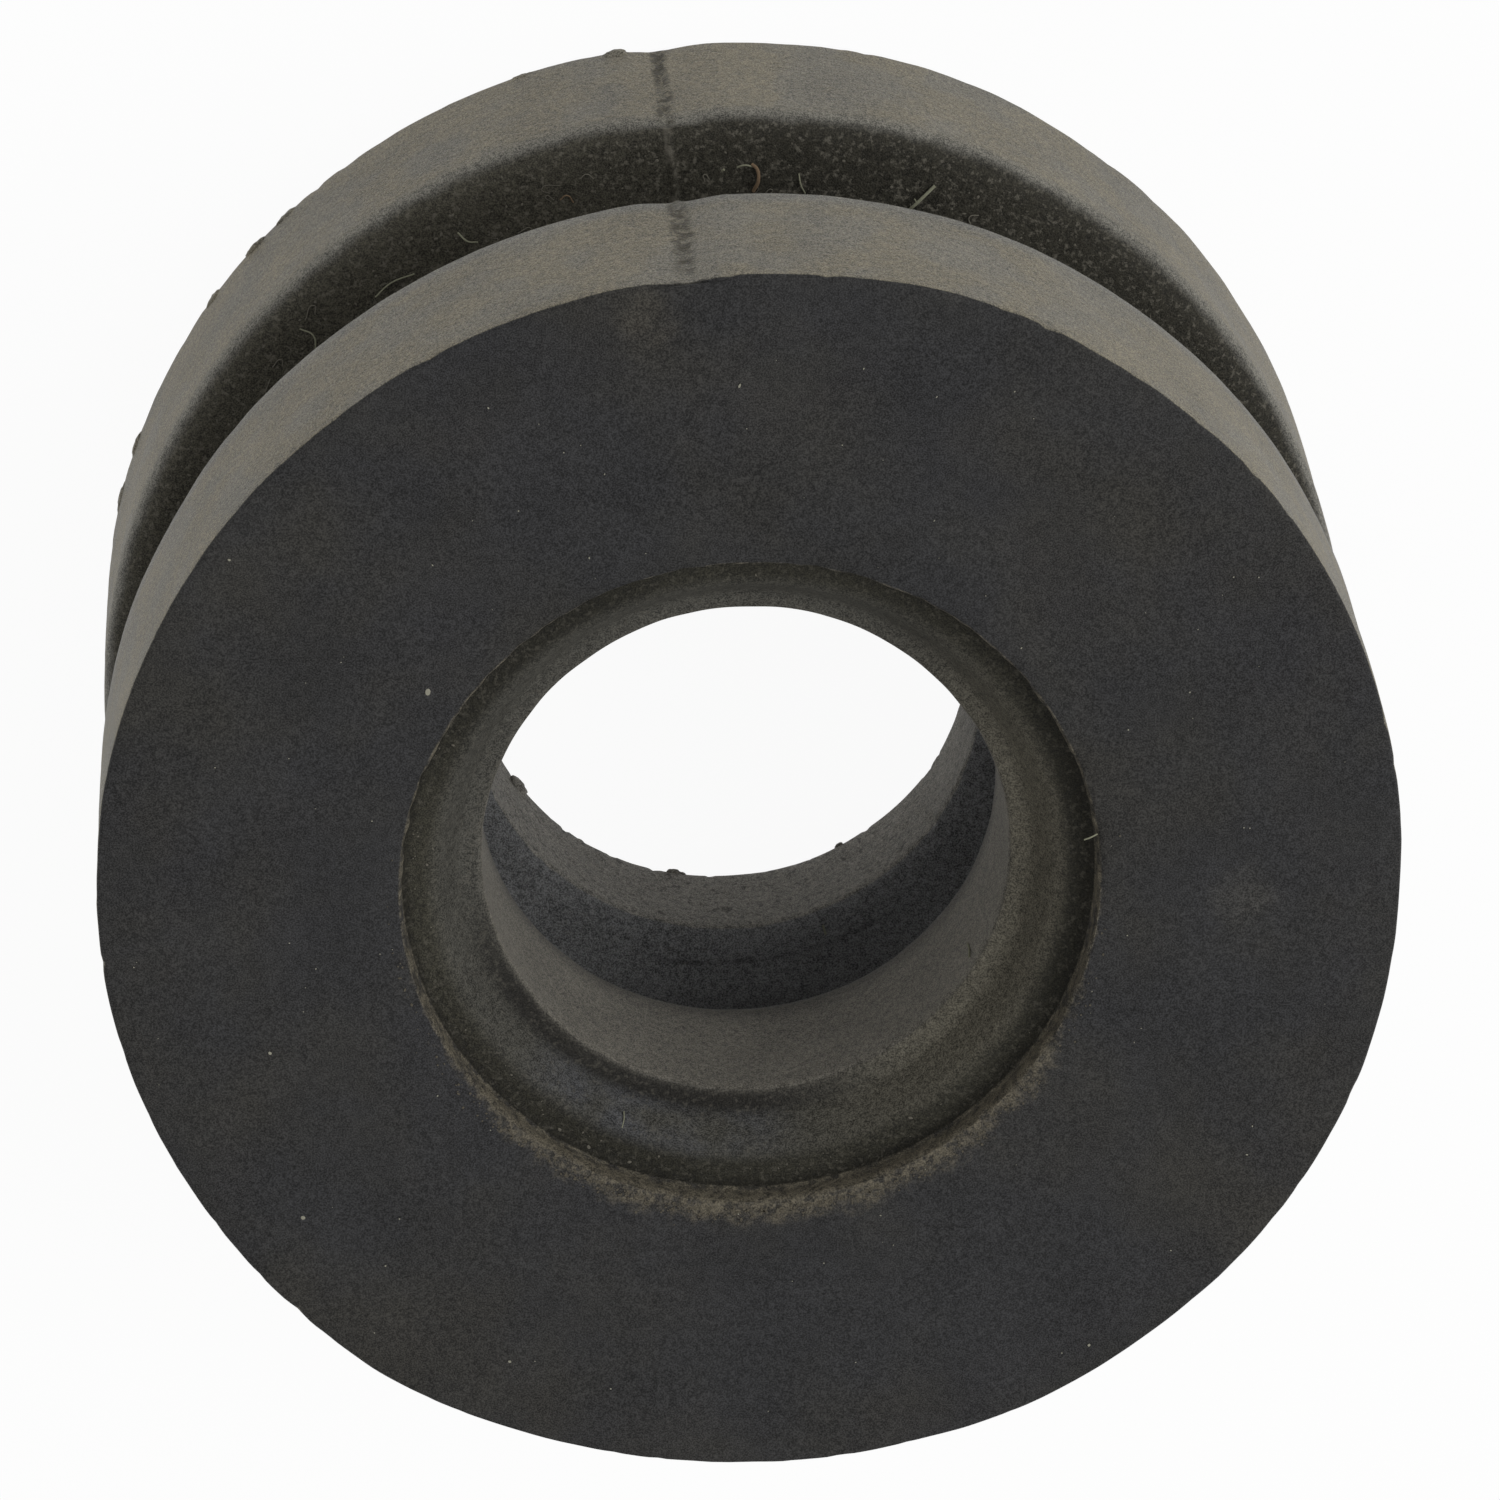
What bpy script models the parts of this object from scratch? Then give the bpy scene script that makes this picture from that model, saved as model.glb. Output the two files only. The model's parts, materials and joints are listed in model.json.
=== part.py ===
"""Radiator mount insulator: one moulded rubber ring, turned about +Z.

A bracket's plate sits in the groove round its side, and a radiator's locating pin
stands in its bore. The part stands on its rear end, with the axis along +Z, and its
origin is the centre of the rear end face. Units are metres.
"""

import math

import bmesh
import bpy
from mathutils import Matrix, Vector

# Driving dimensions across the part, from the bore outwards
BORE_DIAMETER = 0.0155
RELIEF_DEPTH = 0.00255
BODY_WALL = 0.0042
FLANGE_REACH = 0.0045

# Driving dimensions along the part, from the rear end to the front
REAR_FLANGE_THICKNESS = 0.0069
BRACKET_GROOVE_WIDTH = 0.0066
FRONT_FLANGE_THICKNESS = 0.0069
REAR_LIP_LENGTH = 0.0042
FRONT_LIP_LENGTH = 0.0062

# Stepped recess round each end of the bore
MOUTH_STEP_DEPTH = 0.0011
LEDGE_WIDTH = 0.0010
SLOPE_WIDTH = 0.0008
SEAT_WIDTH = 0.0006
FRONT_SEAT_DEPTH = 0.00255
REAR_SEAT_DEPTH = 0.00235

# Roundings of the moulded edges
RIM_ROUNDING = 0.0002
FRONT_FLANGE_LIP_ROUNDING = 0.0002
REAR_FLANGE_LIP_ROUNDING = 0.0008
GROOVE_ROOT_ROUNDING = 0.0008
MOUTH_ROUNDING = 0.00025
LEDGE_ROUNDING = 0.0004
BORE_EDGE_ROUNDING = 0.0002
REAR_RELIEF_ROUNDING = 0.0003
FRONT_RELIEF_ROUNDING = 0.0008
RELIEF_ROOT_ROUNDING = 0.0012

# A fillet takes at most this share of the shorter side at its corner
LONGEST_FILLET_SHARE = 0.45

# How finely the round stretches are divided
TURN_STEPS = 96
FINE_ARC_STEPS = 3
MEDIUM_ARC_STEPS = 2
SMALL_ARC_STEPS = 1

# Sharpest angle between faces that still shades as one smooth surface
SMOOTH_ANGLE = math.radians(32.0)

# Black moulded rubber, dull and a little dusty
RUBBER_COLOUR = (0.034, 0.033, 0.031, 1.0)
RUBBER_ROUGHNESS = 0.72


def fillet_points(before, corner, after, radius, segments):
    """Points of the arc that rounds one corner of the section."""
    to_before = (before - corner).normalized()
    to_after = (after - corner).normalized()
    half_angle = to_before.angle(to_after) / 2.0
    shorter_side = min((before - corner).length, (after - corner).length)
    tangent = min(radius / math.tan(half_angle), LONGEST_FILLET_SHARE * shorter_side)
    fitted_radius = tangent * math.tan(half_angle)
    middle_way = (to_before + to_after).normalized()
    centre = corner + middle_way * (fitted_radius / math.sin(half_angle))
    start = corner + to_before * tangent - centre
    turn = math.copysign(math.pi - 2.0 * half_angle, to_after.cross(to_before))
    points = []
    for index in range(segments + 1):
        points.append(centre + Matrix.Rotation(turn * index / segments, 2) @ start)
    return points


def rounded_section(corners):
    """Closed section outline, with every corner rounded that has a radius."""
    outline = []
    count = len(corners)
    for index, (corner, radius, segments) in enumerate(corners):
        if radius == 0.0:
            outline.append(corner)
            continue
        before = corners[index - 1][0]
        after = corners[(index + 1) % count][0]
        outline.extend(fillet_points(before, corner, after, radius, segments))
    return outline


def recess_corners(end_height, inwards, seat_depth):
    """Corners of one stepped recess, from the end face down to the bore."""
    bore_radius = BORE_DIAMETER / 2.0
    seat_radius = bore_radius + SEAT_WIDTH
    ledge_radius = seat_radius + SLOPE_WIDTH
    mouth_radius = ledge_radius + LEDGE_WIDTH
    ledge_height = end_height + inwards * MOUTH_STEP_DEPTH
    seat_height = end_height + inwards * seat_depth
    return [
        (Vector((mouth_radius, end_height)), MOUTH_ROUNDING, SMALL_ARC_STEPS),
        (Vector((mouth_radius, ledge_height)), 0.0, SMALL_ARC_STEPS),
        (Vector((ledge_radius, ledge_height)), LEDGE_ROUNDING, MEDIUM_ARC_STEPS),
        (Vector((seat_radius, seat_height)), 0.0, SMALL_ARC_STEPS),
        (Vector((bore_radius, seat_height)), BORE_EDGE_ROUNDING, SMALL_ARC_STEPS),
    ]


def relief_corners(bottom_height, top_height):
    """Corners of the relief groove inside the bore, from the rear lip to the front lip."""
    bore_radius = BORE_DIAMETER / 2.0
    relief_radius = bore_radius + RELIEF_DEPTH
    return [
        (Vector((bore_radius, bottom_height)), REAR_RELIEF_ROUNDING, SMALL_ARC_STEPS),
        (Vector((relief_radius, bottom_height)), RELIEF_ROOT_ROUNDING, MEDIUM_ARC_STEPS),
        (Vector((relief_radius, top_height)), RELIEF_ROOT_ROUNDING, MEDIUM_ARC_STEPS),
        (Vector((bore_radius, top_height)), FRONT_RELIEF_ROUNDING, FINE_ARC_STEPS),
    ]


def outer_corners(groove_bottom, groove_top, height):
    """Corners of the outer side, from the front rim down to the rear rim."""
    groove_radius = BORE_DIAMETER / 2.0 + RELIEF_DEPTH + BODY_WALL
    rim_radius = groove_radius + FLANGE_REACH
    return [
        (Vector((rim_radius, height)), RIM_ROUNDING, MEDIUM_ARC_STEPS),
        (Vector((rim_radius, groove_top)), FRONT_FLANGE_LIP_ROUNDING, SMALL_ARC_STEPS),
        (Vector((groove_radius, groove_top)), GROOVE_ROOT_ROUNDING, MEDIUM_ARC_STEPS),
        (Vector((groove_radius, groove_bottom)), GROOVE_ROOT_ROUNDING, MEDIUM_ARC_STEPS),
        (Vector((rim_radius, groove_bottom)), REAR_FLANGE_LIP_ROUNDING, FINE_ARC_STEPS),
        (Vector((rim_radius, 0.0)), RIM_ROUNDING, MEDIUM_ARC_STEPS),
    ]


def insulator_section():
    """The whole section: down the outer side, then up through the bore."""
    groove_bottom = REAR_FLANGE_THICKNESS
    groove_top = groove_bottom + BRACKET_GROOVE_WIDTH
    height = groove_top + FRONT_FLANGE_THICKNESS
    relief_bottom = REAR_SEAT_DEPTH + REAR_LIP_LENGTH
    relief_top = height - FRONT_SEAT_DEPTH - FRONT_LIP_LENGTH
    corners = outer_corners(groove_bottom, groove_top, height)
    corners += recess_corners(0.0, 1.0, REAR_SEAT_DEPTH)
    corners += relief_corners(relief_bottom, relief_top)
    corners += reversed(recess_corners(height, -1.0, FRONT_SEAT_DEPTH))
    return rounded_section(corners)


def turned_mesh(name, outline):
    """Mesh of a closed section turned once round the Z axis."""
    work = bmesh.new()
    ring = [work.verts.new((point.x, 0.0, point.y)) for point in outline]
    edges = []
    for index, vertex in enumerate(ring):
        edges.append(work.edges.new((vertex, ring[(index + 1) % len(ring)])))
    bmesh.ops.spin(
        work,
        geom=ring + edges,
        cent=(0.0, 0.0, 0.0),
        axis=(0.0, 0.0, 1.0),
        angle=math.tau,
        steps=TURN_STEPS,
        use_merge=True,
        use_duplicate=False,
    )
    mesh = bpy.data.meshes.new(name)
    work.to_mesh(mesh)
    work.free()
    mesh.shade_smooth()
    mesh.set_sharp_from_angle(angle=SMOOTH_ANGLE)
    return mesh


def rubber_material():
    """Dull black rubber."""
    material = bpy.data.materials.new("black_rubber")
    material.use_nodes = True
    shader = material.node_tree.nodes["Principled BSDF"]
    shader.inputs["Base Color"].default_value = RUBBER_COLOUR
    shader.inputs["Roughness"].default_value = RUBBER_ROUGHNESS
    shader.inputs["Metallic"].default_value = 0.0
    material.diffuse_color = RUBBER_COLOUR
    return material


def clear_scene():
    """Remove every object that the scene starts with."""
    for item in list(bpy.data.objects):
        bpy.data.objects.remove(item, do_unlink=True)


def main():
    clear_scene()
    mesh = turned_mesh("insulator_body", insulator_section())
    mesh.materials.append(rubber_material())
    body = bpy.data.objects.new("insulator_body", mesh)
    bpy.context.scene.collection.objects.link(body)


main()
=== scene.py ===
"""Finished look of a radiator mount insulator: one moulded rubber ring, dusty and worn.

The ring stands on its rear end, with its axis along +Z. The mould's parting line is on
its -Y side. Lengths are in metres and angles round the axis run from +X towards +Y.
"""

import json
import math
import random
from typing import NamedTuple

import bmesh
import bpy
from bpy.props import FloatProperty, FloatVectorProperty, IntProperty, PointerProperty
from bpy.types import Operator, Panel, PropertyGroup
from mathutils import Matrix, Vector, noise


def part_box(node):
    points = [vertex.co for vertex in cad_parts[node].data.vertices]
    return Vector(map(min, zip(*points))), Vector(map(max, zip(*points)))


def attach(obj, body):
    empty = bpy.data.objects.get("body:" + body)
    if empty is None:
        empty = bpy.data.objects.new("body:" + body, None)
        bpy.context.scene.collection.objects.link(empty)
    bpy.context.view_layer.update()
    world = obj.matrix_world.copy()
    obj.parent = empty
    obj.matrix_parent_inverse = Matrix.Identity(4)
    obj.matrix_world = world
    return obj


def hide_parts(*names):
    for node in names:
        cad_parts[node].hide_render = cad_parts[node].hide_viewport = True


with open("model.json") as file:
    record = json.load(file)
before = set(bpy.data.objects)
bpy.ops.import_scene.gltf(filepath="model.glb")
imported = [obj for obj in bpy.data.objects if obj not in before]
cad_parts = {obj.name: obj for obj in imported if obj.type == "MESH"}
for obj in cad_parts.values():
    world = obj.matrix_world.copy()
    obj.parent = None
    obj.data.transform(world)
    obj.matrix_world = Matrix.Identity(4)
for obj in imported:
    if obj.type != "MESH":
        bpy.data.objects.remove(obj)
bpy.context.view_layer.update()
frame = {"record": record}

bl_info = {
    "name": "Radiator Mount Insulator",
    "version": (1, 0, 0),
    "blender": (4, 5, 0),
    "location": "View3D > Sidebar > Insulator",
    "description": "Builds a worn, dusty rubber insulator and a plain studio round it",
    "category": "Object",
}

BODY = "root"
NODE = "insulator_body"

MILLIMETRE = 0.001
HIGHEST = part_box(NODE)[1]
MOUNTS = {mount["name"]: Vector(mount["pos_m"]) for mount in frame["record"]["mounts"]}
GROOVE_BOTTOM = MOUNTS["groove_rear_wall"].z
GROOVE_TOP = MOUNTS["groove_front_wall"].z
HEIGHT = HIGHEST.z
RIM_RADIUS = HIGHEST.x


def length(name, description, default):
    """A length that the user can change, in metres."""
    return FloatProperty(
        name=name,
        description=description,
        default=default,
        min=0.0,
        precision=5,
        unit="LENGTH",
        subtype="DISTANCE",
    )


def tone(name, description, default):
    """A colour that the user can change, as linear light."""
    return FloatVectorProperty(
        name=name,
        description=description,
        default=default,
        size=3,
        min=0.0,
        max=1.0,
        subtype="COLOR",
    )


class InsulatorSizes(PropertyGroup):
    """Sizes of the moulding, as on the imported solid."""

    rim_radius: length("Rim radius", "Outer radius of both flanges", RIM_RADIUS)
    height: length("Height", "From the rear end face to the front one", HEIGHT)
    groove_bottom: length("Groove bottom", "Height of the groove's lower wall", GROOVE_BOTTOM)
    groove_top: length("Groove top", "Height of the groove's upper wall", GROOVE_TOP)
    groove_depth: length("Groove depth", "From the rim to the groove's floor", 0.0045)
    bore_radius: length("Bore radius", "Radius of both lips of the bore", 0.00775)
    relief_depth: length("Relief depth", "How far the bore opens out between its lips", 0.00255)
    front_lip: length("Front lip", "Length of the bore's front lip", 0.0062)
    rear_lip: length("Rear lip", "Length of the bore's rear lip", 0.0042)
    step_depth: length("Step depth", "Depth of the recess's first step", 0.0011)
    ledge: length("Ledge", "Width of the flat ledge in the recess", 0.0010)
    slope: length("Slope", "Width of the slope below the ledge", 0.0008)
    seat: length("Seat", "Width of the flat seat round the bore", 0.0006)
    front_seat_depth: length("Front seat depth", "Depth of the front recess", 0.00255)
    rear_seat_depth: length("Rear seat depth", "Depth of the rear recess", 0.00235)
    rim_rounding: length("Rim rounding", "Rounding of the end faces' rims", 0.0002)
    groove_lip: length("Groove lip", "Rounding of the rear flange's groove edge", 0.0008)


class InsulatorWear(PropertyGroup):
    """How uneven, worn and dusty the rubber is."""

    unevenness: length("Unevenness", "How far moulded faces stray from true", 0.00004)
    out_of_round: length("Out of round", "How far the flanges bulge from a true circle", 0.00018)
    face_sink: length("Face sink", "How far the front end face has worn down", 0.00003)
    seam_dip: length("Seam dip", "Depth of the broad dip at the seam", 0.00015)
    seam_depth: length("Seam depth", "Depth of the torn seam on the flanges", 0.00007)
    pit_depth: length("Pit depth", "Depth of the pits in the bore's rear lip", 0.00005)
    groove_grains: IntProperty(
        name="Grains in the groove",
        description="Number of dust grains in the bracket groove",
        default=700,
        min=0,
    )
    groove_lint: IntProperty(
        name="Lint in the groove",
        description="Number of short fibres in the bracket groove",
        default=110,
        min=0,
    )
    mouth_grains: IntProperty(
        name="Grains at the mouth",
        description="Number of dust grains round the front recess",
        default=420,
        min=0,
    )
    ledge_grains: IntProperty(
        name="Grains on the ledge",
        description="Number of dust grains on the recess's ledge",
        default=70,
        min=0,
    )
    face_grains: IntProperty(
        name="Grains on the face",
        description="Number of dust grains on the front end face",
        default=90,
        min=0,
    )


class InsulatorTones(PropertyGroup):
    """Colours of the rubber's zones, some with painted light and shade in them, and of the dust, as
    linear light.
    """

    face: tone("End face", "Clean black rubber", (0.0275, 0.0275, 0.0285))
    face_warm: tone("Face film", "Thin brownish film on the end face", (0.0325, 0.031, 0.0275))
    # Side colours: brownish dust bloom, lightened further with painted reflection of the bright
    # floor seen at a grazing angle.
    side: tone("Side", "Brownish bloom on the flanges' sides", (0.164, 0.147, 0.108))
    side_cool: tone("Cool side", "Bluish bloom on the flanges' sides", (0.146, 0.140, 0.120))
    mouth: tone("Mouth", "Dusty wall of the recess's first step", (0.120, 0.107, 0.080))
    groove: tone("Groove", "Rubber in the bracket groove", (0.0280, 0.0260, 0.0197))
    ledge: tone("Ledge", "Rubber on the recess's ledge", (0.027, 0.0255, 0.019))
    # Painted shade: the dark line where the recess's wall meets its ledge.
    corner: tone("Corner", "Dark corner at the foot of the recess's wall", (0.012, 0.011, 0.008))
    slope: tone("Slope", "Rubber on the recess's slope", (0.060, 0.058, 0.050))
    # Painted highlight: bluish reflection on the slope.
    slope_painted_highlight: tone("Slope sheen", "Bluish patch on the slope", (0.064, 0.065, 0.068))
    slope_dust: tone("Slope dust", "Brownish film on the slope", (0.090, 0.083, 0.064))
    # Painted shade: the seat round the bore darkened as shade, strongest on one side.
    seat: tone("Seat", "Dark crease round the bore", (0.016, 0.015, 0.013))
    # The bore's colours are bloom lifted with painted light, standing in for the light that reaches
    # inside the bore.
    bore: tone("Bore", "Bloom on the bore's front lip", (0.150, 0.140, 0.118))
    rear_lip: tone("Rear lip", "Bloom on the bore's rear lip", (0.175, 0.166, 0.146))
    relief: tone("Relief", "Rubber in the bore's relief", (0.146, 0.147, 0.148))
    seam: tone("Seam", "Dirt in the torn seam", (0.034, 0.029, 0.016))
    dust: tone("Dust", "Pale dust", (0.150, 0.139, 0.113))
    brown_dust: tone("Brown dust", "Dirt packed in corners", (0.100, 0.088, 0.065))
    bright_dust: tone("Bright dust", "The palest specks", (0.30, 0.29, 0.23))
    pale_fibre: tone("Pale fibre", "Fibre with a green cast", (0.26, 0.26, 0.185))
    brown_fibre: tone("Brown fibre", "Fibre with an orange cast", (0.21, 0.145, 0.090))


class InsulatorStage(PropertyGroup):
    """Camera, lamps and floor."""

    camera_place: FloatVectorProperty(
        name="Camera place",
        description="Where the camera stands",
        default=(0.014038, -0.100629, 0.2398),
        precision=5,
        unit="LENGTH",
        subtype="TRANSLATION",
    )
    camera_turn: FloatVectorProperty(
        name="Camera turn",
        description="How the camera is turned",
        default=tuple(math.radians(angle) for angle in (-23.7158, -3.0431, -178.6641)),
        subtype="EULER",
    )
    lens: FloatProperty(
        name="Lens",
        description="Focal length in millimetres, on a square sensor of 36 mm",
        default=199.55,
        min=1.0,
    )
    key_power: FloatProperty(
        name="Key lamp",
        description="Power of the soft lamp on the -X side",
        default=1.9,
        min=0.0,
        unit="POWER",
    )
    sky_strength: FloatProperty(
        name="Sky",
        description="Strength of the even light from all round",
        default=0.55,
        min=0.0,
    )
    floor_colour: tone("Floor", "Colour of the floor", (0.82, 0.82, 0.82))


# Radii and heights of the recesses and the bore


def seat_edge(sizes):
    """Outer radius of the seat round the bore."""
    return sizes.bore_radius + sizes.seat


def ledge_edge(sizes):
    """Inner radius of the recess's ledge."""
    return seat_edge(sizes) + sizes.slope


def mouth_edge(sizes):
    """Radius of the recess's wall."""
    return ledge_edge(sizes) + sizes.ledge


def ledge_level(sizes):
    """Height of the front recess's ledge."""
    return sizes.height - sizes.step_depth


def seat_level(sizes):
    """Height of the front recess's seat."""
    return sizes.height - sizes.front_seat_depth


def relief_bottom(sizes):
    """Height where the bore's rear lip ends."""
    return sizes.rear_seat_depth + sizes.rear_lip


def relief_top(sizes):
    """Height where the bore's front lip begins."""
    return seat_level(sizes) - sizes.front_lip


def groove_floor(sizes):
    """Radius of the bracket groove's floor."""
    return sizes.rim_radius - sizes.groove_depth


# Section of the moulding

ARC_CUTS = 5
SMALL_ARC_CUTS = 2
OUTER_SPACING = 0.0006
BORE_SPACING = 0.0003
SMALL_ROUNDING = 0.0002
MOUTH_ROUNDING = 0.00025
LEDGE_ROUNDING = 0.0004
GROOVE_ROOT_ROUNDING = 0.0008
REAR_RELIEF_ROUNDING = 0.0003
FRONT_RELIEF_ROUNDING = 0.0008
RELIEF_ROOT_ROUNDING = 0.0012


class Corner(NamedTuple):
    """One corner of the section, before it is rounded."""

    radius: float
    height: float
    rounding: float
    cuts: int


def recess_corners(sizes, end_height, inwards, seat_depth):
    """Corners of a stepped recess, from the end face to the bore."""
    mouth = mouth_edge(sizes)
    ledge_height = end_height + inwards * sizes.step_depth
    seat_height = end_height + inwards * seat_depth
    return [
        Corner(mouth, end_height, MOUTH_ROUNDING, SMALL_ARC_CUTS),
        Corner(mouth, ledge_height, SMALL_ROUNDING, SMALL_ARC_CUTS),
        Corner(ledge_edge(sizes), ledge_height, LEDGE_ROUNDING, ARC_CUTS),
        Corner(seat_edge(sizes), seat_height, SMALL_ROUNDING, SMALL_ARC_CUTS),
        Corner(sizes.bore_radius, seat_height, SMALL_ROUNDING, SMALL_ARC_CUTS),
    ]


def relief_corners(sizes):
    """Corners of the bore's relief, from the rear lip to the front lip."""
    relief_radius = sizes.bore_radius + sizes.relief_depth
    bottom = relief_bottom(sizes)
    top = relief_top(sizes)
    return [
        Corner(sizes.bore_radius, bottom, REAR_RELIEF_ROUNDING, SMALL_ARC_CUTS),
        Corner(relief_radius, bottom, RELIEF_ROOT_ROUNDING, ARC_CUTS),
        Corner(relief_radius, top, RELIEF_ROOT_ROUNDING, ARC_CUTS),
        Corner(sizes.bore_radius, top, FRONT_RELIEF_ROUNDING, ARC_CUTS),
    ]


def outer_corners(sizes):
    """Corners of the outer side, from the front rim to the rear rim."""
    floor_radius = groove_floor(sizes)
    return [
        Corner(sizes.rim_radius, sizes.height, sizes.rim_rounding, ARC_CUTS),
        Corner(sizes.rim_radius, sizes.groove_top, SMALL_ROUNDING, SMALL_ARC_CUTS),
        Corner(floor_radius, sizes.groove_top, GROOVE_ROOT_ROUNDING, ARC_CUTS),
        Corner(floor_radius, sizes.groove_bottom, GROOVE_ROOT_ROUNDING, ARC_CUTS),
        Corner(sizes.rim_radius, sizes.groove_bottom, sizes.groove_lip, ARC_CUTS),
        Corner(sizes.rim_radius, 0.0, sizes.rim_rounding, ARC_CUTS),
    ]


def section_corners(sizes):
    """The whole section: down the outer side, then up through the bore."""
    corners = outer_corners(sizes)
    corners += recess_corners(sizes, 0.0, 1.0, sizes.rear_seat_depth)
    corners += relief_corners(sizes)
    corners += reversed(recess_corners(sizes, sizes.height, -1.0, sizes.front_seat_depth))
    return corners


def rounded_section(sizes):
    """Outline of the section in the XZ plane, rounded and finely divided."""
    work = bmesh.new()
    corners = section_corners(sizes)
    points = [work.verts.new((corner.radius, 0.0, corner.height)) for corner in corners]
    work.faces.new(points)
    for point, corner in zip(points, corners):
        bmesh.ops.bevel(
            work,
            geom=[point],
            offset=corner.rounding,
            offset_type="OFFSET",
            affect="VERTICES",
            segments=corner.cuts,
            profile=0.5,
            material=-1,
        )
    bmesh.ops.delete(work, geom=work.faces[:], context="FACES_ONLY")
    divide_long_edges(work, sizes)
    return work


def divide_long_edges(work, sizes):
    """Divide the outline's straight runs, more finely in the bore."""
    bore_limit = sizes.bore_radius + sizes.relief_depth / 2.0
    for edge in work.edges[:]:
        inner = max(vertex.co.x for vertex in edge.verts) < bore_limit
        spacing = BORE_SPACING if inner else OUTER_SPACING
        cuts = int(edge.calc_length() / spacing)
        if cuts:
            bmesh.ops.subdivide_edges(work, edges=[edge], cuts=cuts)


# The turned ring, with a finer sector at the seam

SEAM_ANGLE = math.radians(276.7)
SEAM_SECTOR = math.radians(9.0)
SEAM_STEPS = 68
RING_STEPS = 432
WELD_DISTANCE = 0.000002
SHARP_ANGLE = math.radians(50.0)


def spin_section(work, geometry, angle, steps):
    """Sweep the section round the axis and return its last copy."""
    result = bmesh.ops.spin(
        work,
        geom=geometry,
        cent=(0.0, 0.0, 0.0),
        axis=(0.0, 0.0, 1.0),
        angle=angle,
        steps=steps,
        use_merge=False,
        use_duplicate=False,
    )
    return result["geom_last"]


def turned_ring(sizes):
    """Clean ring with small steps across the seam and longer ones elsewhere."""
    work = rounded_section(sizes)
    start = Matrix.Rotation(SEAM_ANGLE - SEAM_SECTOR / 2.0, 3, "Z")
    bmesh.ops.rotate(work, cent=(0.0, 0.0, 0.0), matrix=start, verts=work.verts)
    first = work.verts[:] + work.edges[:]
    last = spin_section(work, first, SEAM_SECTOR, SEAM_STEPS)
    spin_section(work, last, math.tau - SEAM_SECTOR, RING_STEPS)
    bmesh.ops.remove_doubles(work, verts=work.verts, dist=WELD_DISTANCE)
    bmesh.ops.recalc_face_normals(work, faces=work.faces)
    if work.calc_volume(signed=True) < 0.0:
        bmesh.ops.reverse_faces(work, faces=work.faces)
    work.normal_update()
    return work


# Wear, mostly as a distance that each point moves along its normal

# Bulges of the flanges: angle in degrees, and height as a share of the greatest
BULGES = (
    (57.0, 0.7),
    (120.0, 0.95),
    (145.0, 0.8),
    (162.0, 0.6),
    (203.0, 0.45),
    (225.0, 0.9),
    (250.0, 1.0),
)
BULGE_WIDTH = 14.0

BROAD_WAVE = 0.0035
SHORT_WAVE = 0.0009
SHORT_WAVE_SHARE = 0.4
SEAM_WANDER = 0.00006
SEAM_WANDER_WAVE = 0.0016
SEAM_TEAR_WAVE = 0.0012
SEAM_TEAR_LEAST = 0.55
SEAM_TEAR_SPREAD = 0.8
REAR_SEAM_WIDTH = 0.00009
FRONT_SEAM_WIDTH = 0.00022
SEAM_RIDGE_WIDTH = 0.00010
SEAM_RIDGE_HEIGHT = 0.00010
SEAM_DIP_WIDTH = 0.0009
PIT_WAVE = 0.00035
PIT_THRESHOLD = 0.15
PIT_STEEPNESS = 2.5
RIM_CHIP_WAVE = 0.0007
RIM_CHIP_DEPTH = 0.000035
RIM_CHIP_BAND = 0.0003
RIM_CHIP_STEEPNESS = 4.0
MOUTH_CHIP_WAVES = (0.0008, 0.00035)
MOUTH_CHIP_DEPTH = 0.00006
MOUTH_CHIP_BAND = 0.00035
MOUTH_CHIP_BIAS = 0.3
FACE_MARGIN = 0.00001


def wave(point, size, seed=0.0):
    """Smooth noise from -1 to 1, in blotches of about the given size."""
    return noise.noise(point / size + Vector((seed, seed, seed)))


def bell(distance, width):
    """1 at a distance of 0, falling smoothly to 0."""
    return math.exp(-((distance / width) ** 2))


def seam_distance(point):
    """Distance along the circle from the seam, positive towards larger angles."""
    angle = math.atan2(point.y, point.x) - SEAM_ANGLE
    angle = (angle + math.pi) % math.tau - math.pi
    return angle * math.hypot(point.x, point.y)


def seam_shift(point, sizes, wear):
    """The dip and the torn flash on the flanges, and the ridge between them."""
    line = Vector((0.0, 0.0, point.z))
    distance = seam_distance(point) + SEAM_WANDER * wave(line, SEAM_WANDER_WAVE)
    radius = math.hypot(point.x, point.y)
    on_flange = radius > sizes.rim_radius - sizes.rim_rounding
    in_groove = sizes.groove_bottom - FACE_MARGIN < point.z < sizes.groove_top + FACE_MARGIN
    if on_flange:
        torn = SEAM_TEAR_LEAST + SEAM_TEAR_SPREAD * abs(wave(line, SEAM_TEAR_WAVE, seed=3.0))
        width = FRONT_SEAM_WIDTH if point.z > sizes.groove_top else REAR_SEAM_WIDTH
        dip = wear.seam_dip * bell(distance, SEAM_DIP_WIDTH)
        return -dip - wear.seam_depth * torn * bell(distance, width)
    if in_groove and radius > groove_floor(sizes) - FACE_MARGIN:
        return SEAM_RIDGE_HEIGHT * bell(distance, SEAM_RIDGE_WIDTH)
    return 0.0


def rim_shift(point, sizes):
    """Small chips along the two outer rims."""
    radius = math.hypot(point.x, point.y)
    to_side = sizes.rim_radius - radius
    to_end = min(point.z, sizes.height - point.z)
    near = bell(max(to_side, to_end), RIM_CHIP_BAND)
    chip = max(0.0, wave(point, RIM_CHIP_WAVE, seed=7.0)) ** 2
    return -RIM_CHIP_DEPTH * near * chip * RIM_CHIP_STEEPNESS


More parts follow.
